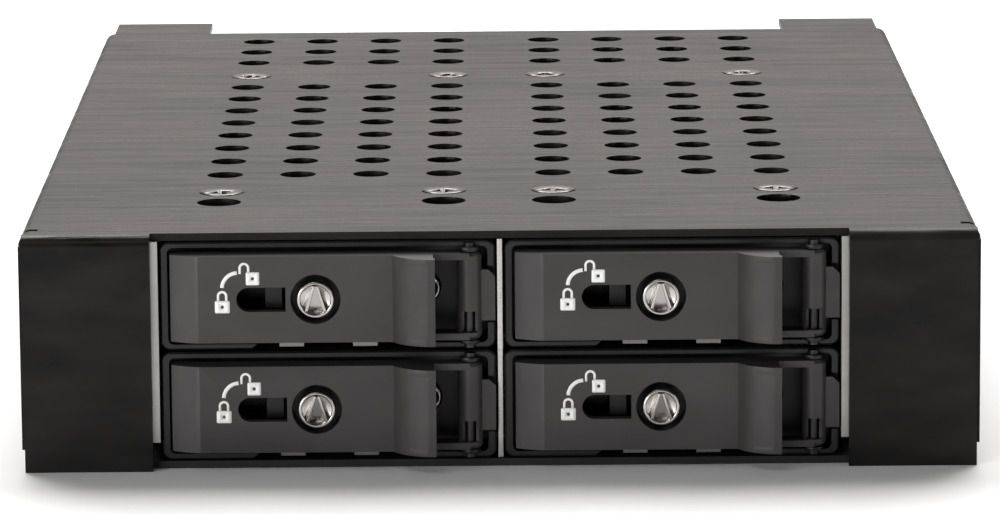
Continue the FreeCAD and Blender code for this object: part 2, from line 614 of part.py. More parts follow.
# --- tray frame with its recess, hinge seats and keeper -------------------------------------------
def tray_frame():
    """Front frame of a tray: thin rim, deep recess, side window for the lever's tab."""
    half_w, half_h = FRAME_WIDTH / 2, FRAME_HEIGHT / 2
    inner_w, inner_h = half_w - RIM_SIDE, half_h - RIM_EDGE
    outer = soft_block(-half_w, half_w, FRAME_FRONT, CARRIER_FRONT, -half_h, half_h, FRAME_CORNER_RADIUS)
    outer = outer.makeChamfer(FRAME_CHAMFER, [e for e in outer.Edges if front_edge(e)])
    recess = soft_block(-inner_w, inner_w, FRAME_FRONT - CUT_MARGIN, FLOOR_FRONT, -inner_h, inner_h,
                        RECESS_CORNER_RADIUS)
    frame = outer.cut(recess)
    washer = inner_h - LEVER_HEIGHT / 2 - WASHER_GAP
    add = [rod(BARREL_X, HINGE_Y, side * inner_h, WASHER_RADIUS, washer, Z_AXIS * -side) for side in (-1, 1)]
    add += [block(BARREL_X - WASHER_RADIUS, BARREL_X + WASHER_RADIUS, HINGE_Y, FLOOR_FRONT,
                  side * inner_h, side * (inner_h - washer)) for side in (-1, 1)]
    add.append(lock_keeper())
    frame = fused([frame] + add)
    tab_room = TAB_HEIGHT / 2 + TAB_PATH_GAP
    low, high = -half_h - CUT_MARGIN, -inner_h + SEAM
    notch = [V(RIM_NOTCH_LEFT, 0, low), V(RIM_NOTCH_RIGHT, 0, low), V(RIM_NOTCH_RIGHT, 0, -half_h),
             V(RIM_NOTCH_RIGHT - RIM_NOTCH_SLOPE, 0, high), V(RIM_NOTCH_LEFT + RIM_NOTCH_SLOPE, 0, high),
             V(RIM_NOTCH_LEFT, 0, -half_h)]
    lug_room = RIB_HALF_HEIGHT + RIB_GAP
    cuts = [
        block(inner_w - SEAM, half_w + CUT_MARGIN, 0, LUG_FRONT, -tab_room, tab_room),
        block(RIB_TIP - RIB_GAP, half_w + CUT_MARGIN, LUG_FRONT - RIB_GAP, CARRIER_FRONT + CUT_MARGIN,
              -lug_room, lug_room),
        prism(notch, V(0, FRAME_FRONT + RIM_NOTCH_DEPTH, 0)),
        rod(BARREL_X, HINGE_Y, -half_h + PIN_INSET, PIN_RADIUS, FRAME_HEIGHT - 2 * PIN_INSET, Z_AXIS),
    ]
    cuts += [rod(x, FLOOR_FRONT - CUT_MARGIN, 0, FRAME_SCREW_SHANK_RADIUS, RECESS_FLOOR + 2 * CUT_MARGIN,
                 Y_AXIS) for x in FRAME_SCREW_X]
    cuts += [tongue(side * TONGUE_X, TONGUE_CLEARANCE) for side in (-1, 1)]
    return frame.cut(Part.Compound(cuts))


def front_edge(edge):
    """True for an edge that lies in the frame's front face."""
    box = edge.BoundBox
    return box.YMax < FRAME_FRONT + 1e-6


def lock_keeper():
    """Hook on the recess floor that the turned pawl slides behind."""
    tip = LOCK_X - PAWL_REACH
    near = tip + KEEPER_OVERLAP
    web = tip - KEEPER_CLEARANCE
    lip_back = PAWL_FRONT - PAWL_GAP
    lip_front = lip_back - KEEPER_LIP
    high = KEEPER_HALF_HEIGHT
    lip = block(web, near, lip_front, lip_back, -high, high)
    post = block(web - KEEPER_WEB, web, lip_front, FLOOR_FRONT, -high, high)
    return fused([lip, post])


def frame_screws():
    """Pan head screws that hold the frame to the carrier's front plate."""
    screws = []
    for x in FRAME_SCREW_X:
        front = FLOOR_FRONT - FRAME_SCREW_HEAD_HEIGHT
        head = rod(x, front, 0, FRAME_SCREW_HEAD_RADIUS, FRAME_SCREW_HEAD_HEIGHT, Y_AXIS)
        rim = [e for e in head.Edges if e.BoundBox.YMax < front + 1e-6]
        head = head.makeChamfer(FRAME_SCREW_CHAMFER, rim)
        shank_length = RECESS_FLOOR + CARRIER_FRONT_PLATE + FRAME_SCREW_HEAD_HEIGHT
        shank = rod(x, front, 0, FRAME_SCREW_SHANK_RADIUS, shank_length, Y_AXIS)
        screws.append(fused([head, shank]))
    return Part.Compound(screws)


def hinge_pin():
    """Steel pin held by the frame's upper and lower rims."""
    length = FRAME_HEIGHT - 2 * PIN_INSET
    return rod(BARREL_X, HINGE_Y, -length / 2, PIN_RADIUS, length, Z_AXIS)


# --- lever -----------------------------------------------------------------------------------------
def lever_outline(face, tip, reach, inset):
    """Plan of the lever's plate or flange: front curve at a depth, straight back at another."""
    grip_face = face - GRIP_RISE
    flat_start = LEVER_LEFT + LEVER_TIP_SWEEP
    tip_mid = V(LEVER_LEFT + LEVER_TIP_SWEEP * 0.45, face + tip * 0.3, 0)
    ramp_mid = V(GRIP_START + (GRIP_END - GRIP_START) * 0.33, face - GRIP_RISE * 0.66, 0)
    crest = GRIP_END - GRIP_BEAD - inset
    start = V(LEVER_LEFT, face + tip, 0)
    flat = V(flat_start, face, 0)
    ramp = V(GRIP_START, face, 0)
    top = V(crest, grip_face, 0)
    edges = [Part.Arc(start, tip_mid, flat).toShape(), Part.LineSegment(flat, ramp).toShape(),
             Part.Arc(ramp, ramp_mid, top).toShape()]
    for a, b in zip([top] + reach, reach + [start]):
        edges.append(Part.LineSegment(a, b).toShape())
    return Part.Face(Part.Wire(edges))


def lever_plate_face():
    """Plan of the curved front plate."""
    inner = LEVER_FACE + LEVER_PLATE
    grip_inner = inner - GRIP_RISE
    back = [V(GRIP_END, LEVER_FACE - GRIP_RISE, 0), V(GRIP_END, grip_inner, 0),
            V(GRIP_START + GRIP_CORNER, grip_inner + GRIP_CORNER_DROP, 0),
            V(GRIP_START + GRIP_FOOT, inner, 0), V(LEVER_LEFT, inner + LEVER_TIP_DROP, 0)]
    return lever_outline(LEVER_FACE, LEVER_TIP_DROP, back, 0)


def lever_flange_face():
    """Plan of the upper and lower flanges, which carry on to the hinge barrel."""
    back = LEVER_FACE + LEVER_FLANGE_DEPTH
    arm_front = HINGE_Y - BARREL_RADIUS
    end = GRIP_END - FLANGE_INSET
    return lever_outline(LEVER_FACE, LEVER_TIP_DROP,
                         [V(end, LEVER_FACE - GRIP_RISE + FLANGE_DROP, 0), V(end, arm_front, 0),
                          V(BARREL_X, arm_front, 0), V(BARREL_X, back, 0), V(LEVER_LEFT, back, 0)],
                         FLANGE_INSET)


def lever():
    """Channel shaped lever: plate, two flanges, lock cup, hinge barrel and cam tab."""
    half = LEVER_HEIGHT / 2
    plate = lever_plate_face().extrude(V(0, 0, LEVER_HEIGHT))
    plate.translate(V(0, 0, -half))
    flanges = []
    for low in (-half, half - LEVER_FLANGE):
        flange = lever_flange_face().extrude(V(0, 0, LEVER_FLANGE))
        flange.translate(V(0, 0, low))
        flanges.append(flange)
    barrel = rod(BARREL_X, HINGE_Y, -half, BARREL_RADIUS, LEVER_HEIGHT, Z_AXIS)
    barrel = barrel.makeChamfer(BARREL_CHAMFER, [e for e in barrel.Edges if e.BoundBox.ZLength < 1e-6])
    cup_front = LEVER_FACE + LEVER_PLATE / 2
    cup = rod(LOCK_X, cup_front, 0, CUP_RADIUS + CUP_WALL, CUP_BACK - cup_front, Y_AXIS)
    body = fused([plate, barrel, cam_tab(), cup] + flanges)
    ahead = LEVER_FACE - CUT_MARGIN
    window = PIN_WINDOW_RISE - half
    cuts = [
        rod(BARREL_X, HINGE_Y, -half - CUT_MARGIN, PIN_RADIUS + PIN_CLEARANCE, LEVER_HEIGHT + 2 * CUT_MARGIN,
            Z_AXIS),
        rod(LOCK_X, ahead, 0, CUP_RADIUS, CUP_BACK - CUP_FLOOR - ahead, Y_AXIS),
        rod(LOCK_X, ahead, 0, LOCK_STEM_RADIUS + LOCK_CLEARANCE, CUP_BACK + CUT_MARGIN - ahead, Y_AXIS),
        lock_slot(),
        block(BARREL_X - PIN_WINDOW_WIDTH / 2, BARREL_X + PIN_WINDOW_WIDTH / 2,
              HINGE_Y - BARREL_RADIUS - CUT_MARGIN, HINGE_Y - PIN_RADIUS / 2, window,
              window + PIN_WINDOW_HEIGHT),
    ]
    return body.cut(Part.Compound(cuts))


def lock_slot():
    """Cutter for the slot beside the lock, round at its far end."""
    radius = LOCK_SLOT_HEIGHT / 2
    start = LOCK_SLOT_LEFT + radius
    front, depth = LEVER_FACE - CUT_MARGIN, LEVER_PLATE + 2 * CUT_MARGIN
    end = LOCK_X - CUP_RADIUS - CUP_WALL
    bar = block(start, end, front, front + depth, -radius, radius)
    return fused([bar, rod(start, front, 0, radius, depth, Y_AXIS)])


def cam_tab():
    """Tab beyond the barrel that pries against the guide rib's end as the lever opens."""
    tip = BARREL_X + TAB_REACH
    half = TAB_HEIGHT / 2
    front = HINGE_Y - TAB_THICKNESS / 2
    root = BARREL_X + TAB_ROOT
    outline = [V(root, front, -half), V(tip, front, -half), V(tip, front, half - TAB_CORNER),
               V(tip - TAB_CORNER, front, half), V(root, front, half)]
    return prism(outline, V(0, TAB_THICKNESS, 0))


# --- quarter turn lock --------------------------------------------------------------------------------
def lock_head():
    """Round head with a tapered pointer in a shallow well, on a stem that carries the pawl."""
    front = LEVER_FACE - LOCK_HEAD_PROUD
    head = rod(LOCK_X, front, 0, LOCK_HEAD_RADIUS, LOCK_HEAD_LENGTH, Y_AXIS)
    rim = [e for e in head.Edges if e.BoundBox.YMax < front + 1e-6]
    head = head.makeChamfer(LOCK_HEAD_CHAMFER, rim)
    well_radius = LOCK_HEAD_RADIUS - LOCK_HEAD_RIM
    well = rod(LOCK_X, front, 0, well_radius, POINTER_DEPTH, Y_AXIS)
    foot, tip = POINTER_WIDTH / 2, POINTER_TIP_WIDTH / 2
    low, high = POINTER_FOOT_GAP - well_radius, well_radius - POINTER_TIP_GAP
    pointer = prism([V(LOCK_X - foot, front, low), V(LOCK_X + foot, front, low),
                     V(LOCK_X + tip, front, high), V(LOCK_X - tip, front, high)], V(0, POINTER_DEPTH, 0))
    stem = rod(LOCK_X, front + LOCK_HEAD_LENGTH, 0, LOCK_STEM_RADIUS,
               PAWL_FRONT + PAWL_THICKNESS - front - LOCK_HEAD_LENGTH, Y_AXIS)
    return fused([head.cut(well.cut(pointer)), stem])


def lock_pawl():
    """Latch blade behind the lever; it points up when open and left when locked."""
    hub = rod(LOCK_X, PAWL_FRONT, 0, PAWL_HUB_RADIUS, PAWL_THICKNESS, Y_AXIS)
    tip_radius = PAWL_WIDTH / 2
    blade = block(LOCK_X - tip_radius, LOCK_X + tip_radius, PAWL_FRONT, PAWL_FRONT + PAWL_THICKNESS,
                  0, PAWL_REACH - tip_radius)
    tip = rod(LOCK_X, PAWL_FRONT, PAWL_REACH - tip_radius, tip_radius, PAWL_THICKNESS, Y_AXIS)
    hole = rod(LOCK_X, PAWL_FRONT - CUT_MARGIN, 0, LOCK_STEM_RADIUS, PAWL_THICKNESS + 2 * CUT_MARGIN, Y_AXIS)
    return fused([hub, blade, tip]).cut(hole)


# --- drive carrier ---------------------------------------------------------------------------------------
def tongue(x, clearance=0.0):
    """Front tongue of the carrier, or its cutter in the frame when given a clearance."""
    low = TONGUE_LIFT - FRAME_HEIGHT / 2
    return block(x - TONGUE_WIDTH / 2 - clearance, x + TONGUE_WIDTH / 2 + clearance,
                 FRAME_FRONT + TONGUE_FROM_FRONT - clearance, CARRIER_FRONT + clearance,
                 low - clearance, low + TONGUE_HEIGHT + clearance)


def boss_places():
    """Centres of the two bosses, at opposite corners, that take the heat spreader's screws."""
    x = CARRIER_HALF - BOSS_RADIUS + BOSS_BITE
    return [(-x, SPREADER_FRONT + BOSS_FROM_END), (x, SPREADER_REAR - BOSS_FROM_END)]


def carrier():
    """Extruded drive tray: floor, walls, twin runners each side, front plate and tongues."""
    half = CARRIER_HALF
    wall = half + CARRIER_WALL
    runner = FRAME_WIDTH / 2 + TRAY_SIDE_GAP - RUNNER_SIDE_GAP
    gap = RIB_HALF_HEIGHT + RIB_GAP
    pieces = [
        block(-wall, wall, CARRIER_FRONT, CARRIER_REAR, SLAB_BOTTOM, SLAB_TOP),
        block(-wall, wall, CARRIER_FRONT, CARRIER_FRONT + CARRIER_FRONT_PLATE, SLAB_BOTTOM, WALL_TOP),
    ]
    for side in (-1, 1):
        pieces.append(block(side * half, side * wall, CARRIER_FRONT, CARRIER_REAR, SLAB_BOTTOM, WALL_TOP))
        for low in (gap, -gap - RUNNER_THICKNESS):
            pieces.append(block(side * wall, side * runner, CARRIER_FRONT, CARRIER_REAR, low,
                                low + RUNNER_THICKNESS))
        foot = tongue(side * TONGUE_X)
        pieces.append(foot)
        pieces.append(block(foot.BoundBox.XMin, foot.BoundBox.XMax, CARRIER_FRONT,
                            CARRIER_FRONT + CARRIER_FRONT_PLATE, foot.BoundBox.ZMin, SLAB_TOP))
    pieces += [rod(x, y, SLAB_BOTTOM, BOSS_RADIUS, WALL_TOP - SLAB_BOTTOM, Z_AXIS) for x, y in boss_places()]
    slot_half = CLIP_NECK_WIDTH / 2 + CLIP_GAP
    slot_front = CLIP_FRONT - CLIP_GAP
    cuts = [block(-slot_half, slot_half, slot_front, slot_front + CLIP_TRAVEL + CLIP_LENGTH + 2 * CLIP_GAP,
                  SLAB_BOTTOM - CUT_MARGIN, SLAB_TOP + CUT_MARGIN)]
    cuts += [rod(x, y, WALL_TOP - BOSS_HOLE_DEPTH, SPREADER_SCREW_RADIUS, BOSS_HOLE_DEPTH + CUT_MARGIN, Z_AXIS)
             for x, y in boss_places()]
    cuts += [rod(x, CARRIER_FRONT - CUT_MARGIN, 0, FRAME_SCREW_SHANK_RADIUS,
                 CARRIER_FRONT_PLATE + 2 * CUT_MARGIN, Y_AXIS) for x in FRAME_SCREW_X]
    return fused(pieces).cut(Part.Compound(cuts))


def heat_spreader():
    """Finned aluminium lid whose pedestal presses the thermal pad on the drive."""
    wall = CARRIER_HALF + CARRIER_WALL
    top = WALL_TOP + SPREADER_PLATE
    pieces = [
        block(-wall, wall, SPREADER_FRONT, SPREADER_REAR, WALL_TOP, top),
        block(-PEDESTAL_WIDTH / 2, PEDESTAL_WIDTH / 2, SPREADER_FRONT, SPREADER_REAR, PAD_TOP, WALL_TOP),
    ]
    pitch = PEDESTAL_WIDTH / (FIN_COUNT - 1)
    for index in range(FIN_COUNT):
        x = -PEDESTAL_WIDTH / 2 + index * pitch
        pieces.append(block(x - FIN_WIDTH / 2, x + FIN_WIDTH / 2, SPREADER_FRONT, SPREADER_REAR, top,
                            top + FIN_HEIGHT))
    holes = [rod(x, y, WALL_TOP - CUT_MARGIN, SPREADER_SCREW_RADIUS, SPREADER_PLATE + 2 * CUT_MARGIN, Z_AXIS)
             for x, y in boss_places()]
    return fused(pieces).cut(Part.Compound(holes))


def thermal_pad():
    """Soft pad under the spreader's pedestal."""
    half = DRIVE_WIDTH / 2
    return block(-half, half, DRIVE_FRONT + PAD_MARGIN, SPREADER_REAR - PAD_MARGIN, PAD_BOTTOM, PAD_TOP)


def spreader_screws():
    """Small pan head screws at the spreader's corners."""
    top = WALL_TOP + SPREADER_PLATE
    screws = []
    for x, y in boss_places():
        shank = rod(x, y, WALL_TOP - SPREADER_SCREW_GRIP, SPREADER_SCREW_RADIUS,
                    SPREADER_PLATE + SPREADER_SCREW_GRIP, Z_AXIS)
        screws.append(fused([shank, rod(x, y, top, SPREADER_HEAD_RADIUS, SPREADER_HEAD_HEIGHT, Z_AXIS)]))
    return Part.Compound(screws)


def drive_clip():
    """Sliding clip that holds the drive's front end; its foot runs in the floor's slot."""
    front, back = CLIP_FRONT, DRIVE_FRONT
    low = DRIVE_SPACE_LOW
    body = block(-CLIP_WIDTH / 2, CLIP_WIDTH / 2, front, back, low, low + CLIP_HEIGHT)
    step = block(-CLIP_WIDTH, CLIP_WIDTH, back - CLIP_LIP, back + CUT_MARGIN, low + DRIVE_BOARD_GAP,
                 low + DRIVE_BOARD_GAP + DRIVE_BOARD_THICKNESS)
    neck = block(-CLIP_NECK_WIDTH / 2, CLIP_NECK_WIDTH / 2, front, back, SLAB_BOTTOM - CLIP_GAP, low)
    foot = block(-CLIP_FOOT_WIDTH / 2, CLIP_FOOT_WIDTH / 2, front, back,
                 SLAB_BOTTOM - CLIP_GAP - CLIP_FOOT_THICKNESS, SLAB_BOTTOM - CLIP_GAP)
    return fused([body, neck, foot]).cut(step)


# --- backplane and rear -------------------------------------------------------------------------------------
def backplane_board():
    """Circuit board across the rear of both columns."""
    edge = LINER_INNER - BOARD_SIDE_GAP
    board = block(-edge, edge, BOARD_FRONT, BOARD_BACK, BASE_SHEET + BOARD_EDGE_GAP,
                  CAVITY_TOP - BOARD_EDGE_GAP)
    front, back = BOARD_FRONT - CUT_MARGIN, BOARD_BACK + CUT_MARGIN
    holes = [rod(side * board_screw_x(), front, MIDDLE_Z, BOARD_SCREW_RADIUS + SCREW_CLEARANCE, back - front,
                 Y_AXIS) for side in (-1, 1)]
    reach, rise = BOARD_SLOT_WIDTH / 2, BOARD_SLOT_HEIGHT / 2
    slots = [soft_block(side * TRAY_X - reach, side * TRAY_X + reach, front, back, MIDDLE_Z - rise,
                        MIDDLE_Z + rise, BOARD_SLOT_CORNER) for side in (-1, 1)]
    return board.cut(Part.Compound(holes + slots))


def backplane_screws():
    """Pan head screws through the board into the liners' tabs."""
    screws = []
    for side in (-1, 1):
        x = side * board_screw_x()
        front = BOARD_FRONT - BOARD_SCREW_HEAD_HEIGHT
        head = rod(x, front, MIDDLE_Z, BOARD_SCREW_HEAD_RADIUS, BOARD_SCREW_HEAD_HEIGHT, Y_AXIS)
        length = BOARD_SCREW_HEAD_HEIGHT + BOARD_THICKNESS + LINER_SHEET
        screws.append(fused([head, rod(x, front, MIDDLE_Z, BOARD_SCREW_RADIUS, length, Y_AXIS)]))
    return Part.Compound(screws)


def drive_sockets():
    """Card edge sockets on the board, one behind each tray."""
    sockets = []
    for x, z in TRAYS.values():
        middle = z + DRIVE_BOARD_Z + DRIVE_BOARD_THICKNESS / 2
        half = SOCKET_WIDTH / 2
        body = block(x - half, x + half, SOCKET_FRONT, BOARD_FRONT, middle - SOCKET_HEIGHT / 2,
                     middle + SOCKET_HEIGHT / 2)
        reach, rise = SOCKET_SLOT_WIDTH / 2, SOCKET_SLOT_HEIGHT / 2
        slot = block(x - reach, x + reach, SOCKET_FRONT - CUT_MARGIN,
                     SOCKET_FRONT + SOCKET_ENTRY + SOCKET_BOTTOM_GAP, middle - rise, middle + rise)
        reach, rise = reach + SOCKET_MOUTH, rise + SOCKET_MOUTH
        mouth = block(x - reach, x + reach, SOCKET_FRONT - CUT_MARGIN, SOCKET_FRONT + SOCKET_MOUTH_DEPTH,
                      middle - rise, middle + rise)
        sockets.append(body.cut(fused([slot, mouth])))
    return Part.Compound(sockets)


def port_shell(x, z, width, height, wall, tongue_height):
    """Rectangular receptacle that faces the rear, with a contact tongue inside."""
    back = REAR_PLATE_BACK + PORT_PROUD
    shell = soft_block(x - width / 2, x + width / 2, BOARD_BACK, back, z - height / 2, z + height / 2,
                       PORT_CORNER)
    cavity = block(x - width / 2 + wall, x + width / 2 - wall, BOARD_BACK + PORT_FLOOR, back + CUT_MARGIN,
                   z - height / 2 + wall, z + height / 2 - wall)
    blade = block(x - width / 2 + 2 * wall, x + width / 2 - 2 * wall, BOARD_BACK + PORT_FLOOR / 2,
                  back - PORT_TONGUE_GAP, z - tongue_height / 2, z + tongue_height / 2)
    return fused([shell.cut(cavity), blade])


def data_ports():
    """Data receptacles behind the board, one for each tray."""
    return Part.Compound([port_shell(x, z, DATA_PORT_WIDTH, DATA_PORT_HEIGHT, DATA_PORT_WALL,
                                     DATA_PORT_TONGUE) for x in DATA_PORT_X for z in (LOWER_Z, UPPER_Z)])


def power_port():
    """Power receptacle with a contact tongue."""
    return port_shell(POWER_PORT_X, LOWER_Z, POWER_PORT_WIDTH, POWER_PORT_HEIGHT, POWER_PORT_WALL,
                      POWER_TONGUE)


def rear_plate():
    """Rear wall with windows for the ports and a row of vent slots."""
    plate = block(-LINER_INNER, LINER_INNER, REAR_PLATE_FRONT, REAR_PLATE_BACK, BASE_SHEET, CAVITY_TOP)
    front, back = REAR_PLATE_FRONT - CUT_MARGIN, REAR_PLATE_BACK + CUT_MARGIN
    ports = [(x, z, DATA_PORT_WIDTH, DATA_PORT_HEIGHT) for x in DATA_PORT_X for z in (LOWER_Z, UPPER_Z)]
    ports.append((POWER_PORT_X, LOWER_Z, POWER_PORT_WIDTH, POWER_PORT_HEIGHT))
    windows = []
    for x, z, width, height in ports:
        reach, rise = width / 2 + PORT_WINDOW_GAP, height / 2 + PORT_WINDOW_GAP
        windows.append(block(x - reach, x + reach, front, back, z - rise, z + rise))
    first = POWER_PORT_X - POWER_PORT_WIDTH / 2
    for index in range(REAR_SLOTS):
        x = first + index * 2 * REAR_SLOT_WIDTH
        windows.append(soft_block(x, x + REAR_SLOT_WIDTH, front, back, UPPER_Z - REAR_SLOT_HEIGHT / 2,
                                  UPPER_Z + REAR_SLOT_HEIGHT / 2, REAR_SLOT_CORNER))
    return plate.cut(Part.Compound(windows))


def board_chip(x, z, size, height):
    """Square chip on the rear of the board, with chamfered rear edges."""
    half, back = size / 2, BOARD_BACK + height
    chip = block(x - half, x + half, BOARD_BACK, back, z - half, z + half)
    return chip.makeChamfer(CHIP_CHAMFER, [e for e in chip.Edges if e.BoundBox.YMin > back - 1e-6])


def board_chips():
    """Regulator, choke and two small chips on the rear of the board."""
    return Part.Compound([
        board_chip(REGULATOR_X, UPPER_Z, REGULATOR_SIZE, REGULATOR_HEIGHT),
        board_chip(CHOKE_X, UPPER_Z, CHOKE_SIZE, CHOKE_HEIGHT),
        board_chip(CLOCK_X, UPPER_Z, CLOCK_SIZE, CLOCK_HEIGHT),
        board_chip(BRIDGE_X, LOWER_Z, BRIDGE_SIZE, BRIDGE_HEIGHT),
    ])


# --- build ------------------------------------------------------------------------------------------------------
def tray_parts():
    """The pieces of one tray, drawn about the tray frame's centre line."""
    return {
        "frame": tray_frame(),
        "frame_screws": frame_screws(),
        "hinge_pin": hinge_pin(),
        "lever": lever(),
        "lock_head": lock_head(),
        "lock_pawl": lock_pawl(),
        "carrier": carrier(),
        "heat_spreader": heat_spreader(),
        "thermal_pad": thermal_pad(),
        "spreader_screws": spreader_screws(),
        "drive_clip": drive_clip(),
    }


def cage_parts():
    """The fixed pieces of the cage."""
    return {
        "outer_cover": outer_cover(),
        "cover_screws": cover_screws(),
        "base_pan": base_pan(),
        "base_screws": base_screws(),
        "left_liner": side_liner(-1),
        "right_liner": side_liner(1),
        "centre_divider": centre_divider(),
        "bay_shelves": bay_shelves(),
        "backplane_board": backplane_board(),
        "backplane_screws": backplane_screws(),
        "drive_sockets": drive_sockets(),
        "data_ports": data_ports(),
        "power_port": power_port(),
        "board_chips": board_chips(),
        "rear_plate": rear_plate(),
    }


def build():
    """Every node of the assembly, by name, in the part's own frame."""
    nodes = {name: moved(shape, y=-ORIGIN.y) for name, shape in cage_parts().items()}
    for part_name, shape in tray_parts().items():
        for tray_name, (x, z) in TRAYS.items():
            nodes[f"{part_name}_{tray_name}"] = moved(shape, x, -ORIGIN.y, z)
    return nodes


if __name__ == "__main__":
    os.makedirs("parts", exist_ok=True)
    for node_name, node_shape in build().items():
        node_shape.exportStep(f"parts/{node_name}.step")
        print(f"{node_name:32s} {len(node_shape.Solids)} solids {node_shape.Volume:10.1f} mm3")
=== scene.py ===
# %% [markdown]
# # A hot swap drive cage
# A slim black box for a 3.5 inch bay. Four small trays slide into its front, each with a hinged
# lever and a quarter turn lock. The CAD model already holds the pieces and their places, so this
# script loads it, gives each part its finish, and adds the small things that CAD leaves plain:
# bevelled edges, driver recesses, the ridges of the lock heads and printed signs.

# %% Load the frame
import bpy
import bmesh
import json
import math
from mathutils import Matrix, Vector


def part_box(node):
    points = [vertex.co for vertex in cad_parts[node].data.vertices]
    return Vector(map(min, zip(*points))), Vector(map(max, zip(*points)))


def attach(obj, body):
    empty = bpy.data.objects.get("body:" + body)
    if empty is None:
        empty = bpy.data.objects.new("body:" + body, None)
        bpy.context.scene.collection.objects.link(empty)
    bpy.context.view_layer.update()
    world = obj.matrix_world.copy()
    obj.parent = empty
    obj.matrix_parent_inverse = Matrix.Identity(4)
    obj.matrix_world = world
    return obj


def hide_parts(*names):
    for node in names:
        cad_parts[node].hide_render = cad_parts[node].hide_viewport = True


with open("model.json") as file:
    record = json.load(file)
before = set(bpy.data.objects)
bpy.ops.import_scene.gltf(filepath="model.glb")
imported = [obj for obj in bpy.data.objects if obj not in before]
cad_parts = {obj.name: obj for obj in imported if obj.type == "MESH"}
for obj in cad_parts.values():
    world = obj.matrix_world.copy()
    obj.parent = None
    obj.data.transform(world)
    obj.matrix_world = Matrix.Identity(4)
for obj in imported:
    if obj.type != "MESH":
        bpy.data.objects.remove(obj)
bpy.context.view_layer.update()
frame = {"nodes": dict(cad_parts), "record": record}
MM = 0.001
TRAYS = ("lower_left", "lower_right", "upper_left", "upper_right")

# %% [markdown]
# ## Places that everything else hangs on
# The CAD solids know where things are. A node's box gives its lowest and highest corner, so the
# centre of each lock, the middle of each lever and the head of each screw come from there, and a
# new piece stays in its place if the CAD changes.


# %% Read the places from the CAD boxes
def corners(node):
    """Lowest and highest corner of a CAD node's box."""
    return [Vector(corner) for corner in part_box(node)]


COVER_LOW, COVER_HIGH = corners("outer_cover")
print("the cover runs from", [round(value / MM, 1) for value in COVER_LOW], "to",
      [round(value / MM, 1) for value in COVER_HIGH], "mm")

# %% [markdown]
# ## Camera
# The view is a long lens from far in front, a little above the cage, so the top shows as a
# narrowing trapezium and the front stays almost square. The place and the three angles are
# set once. A camera looks along its own -Z, so a level camera that faces +Y is turned a quarter
# turn about X first, and the downward pitch is taken off that.

# %% Place the camera
CAMERA_PLACE = Vector((-0.99, -667.6, 134.31)) * MM
CAMERA_PITCH = math.radians(10.617)
CAMERA_YAW = math.radians(0.10)
CAMERA_ROLL = math.radians(-0.457)
CAMERA_LENS = 206.74
CAMERA_SENSOR = 36
CAMERA_REACH = 50

camera = bpy.data.objects.new("camera", bpy.data.cameras.new("camera"))
bpy.context.scene.collection.objects.link(camera)
camera.data.lens = CAMERA_LENS
camera.data.sensor_width = CAMERA_SENSOR
camera.data.clip_end = CAMERA_REACH
turn = Matrix.Rotation(-CAMERA_YAW, 4, "Z") @ Matrix.Rotation(math.pi / 2 - CAMERA_PITCH, 4, "X")
camera.matrix_world = Matrix.Translation(CAMERA_PLACE) @ turn @ Matrix.Rotation(CAMERA_ROLL, 4, "Z")
bpy.context.scene.camera = camera
print("camera", round((COVER_LOW.y - CAMERA_PLACE.y) / MM), "mm in front of the cover")

# %% [markdown]
# ## Floor and light
# Black metal shows little of its own colour, and mostly what it reflects, so the surroundings
# matter more than the lamps. The large panel hangs high and behind: it whitens the floor, skims
# the brushed top, and leaves the front faces to the light that the floor throws back. That is
# also why the cage's shadow falls towards the viewer. Four weak panels lift the front a little.
# Most of their light comes from the left, so that the levers' bent tips and ramps stand out.


# %% Build the floor and the lamps
def add_panel_light(name, place, aim, size, power):
    """Rectangular area light that faces a point."""
    data = bpy.data.lights.new(name, "AREA")
    data.shape = "RECTANGLE"
    data.size, data.size_y = size
    data.energy = power
    light = bpy.data.objects.new(name, data)
    bpy.context.scene.collection.objects.link(light)
    light.location = place
    light.rotation_mode = "QUATERNION"
    light.rotation_quaternion = (Vector(aim) - Vector(place)).to_track_quat("-Z", "Y")


FLOOR_SIZE = 6
FLOOR_DROP = 0.02 * MM
FLOOR_WHITE, FLOOR_ROUGHNESS = (0.94, 0.94, 0.94, 1), 0.7


def add_floor():
    """Flat sheet a hair under the cage, so that the two never share a plane."""
    work = bmesh.new()
    bmesh.ops.create_grid(work, x_segments=1, y_segments=1, size=FLOOR_SIZE,
                          matrix=Matrix.Translation((0, 0, -FLOOR_DROP)))
    mesh = bpy.data.meshes.new("floor")
    work.to_mesh(mesh)
    work.free()
    floor = bpy.data.objects.new("floor", mesh)
    bpy.context.scene.collection.objects.link(floor)
    paint = bpy.data.materials.new("floor_white")
    paint.use_nodes = True
    shader = paint.node_tree.nodes["Principled BSDF"]
    shader.inputs["Base Color"].default_value = FLOOR_WHITE
    shader.inputs["Roughness"].default_value = FLOOR_ROUGHNESS
    mesh.materials.append(paint)


LAMPS = {
    "top_panel": {"place": (0.0, 0.62, 1.0), "aim": (0, 0, 0), "size": (1.2, 0.8), "power": 20},
    "front_panel": {"place": (-0.35, -0.8, 0.9), "aim": (0, -0.07, 0), "size": (0.6, 0.3),
                    "power": 1.6},
    "left_panel": {"place": (-1.0, -0.75, 0.3), "aim": (0, -0.05, 0.01), "size": (0.5, 0.4),
                   "power": 5},
    "low_panel": {"place": (-0.6, -1.15, 0.12), "aim": (0, -0.05, 0.01), "size": (0.35, 0.2),
                  "power": 2.6},
    "right_panel": {"place": (0.9, -0.6, 0.3), "aim": (0, -0.05, 0.01), "size": (0.3, 0.4),
                    "power": 1.2},
}
add_floor()
for name, values in LAMPS.items():
    add_panel_light(name, **values)
print("a white floor and", len(LAMPS), "lamps")

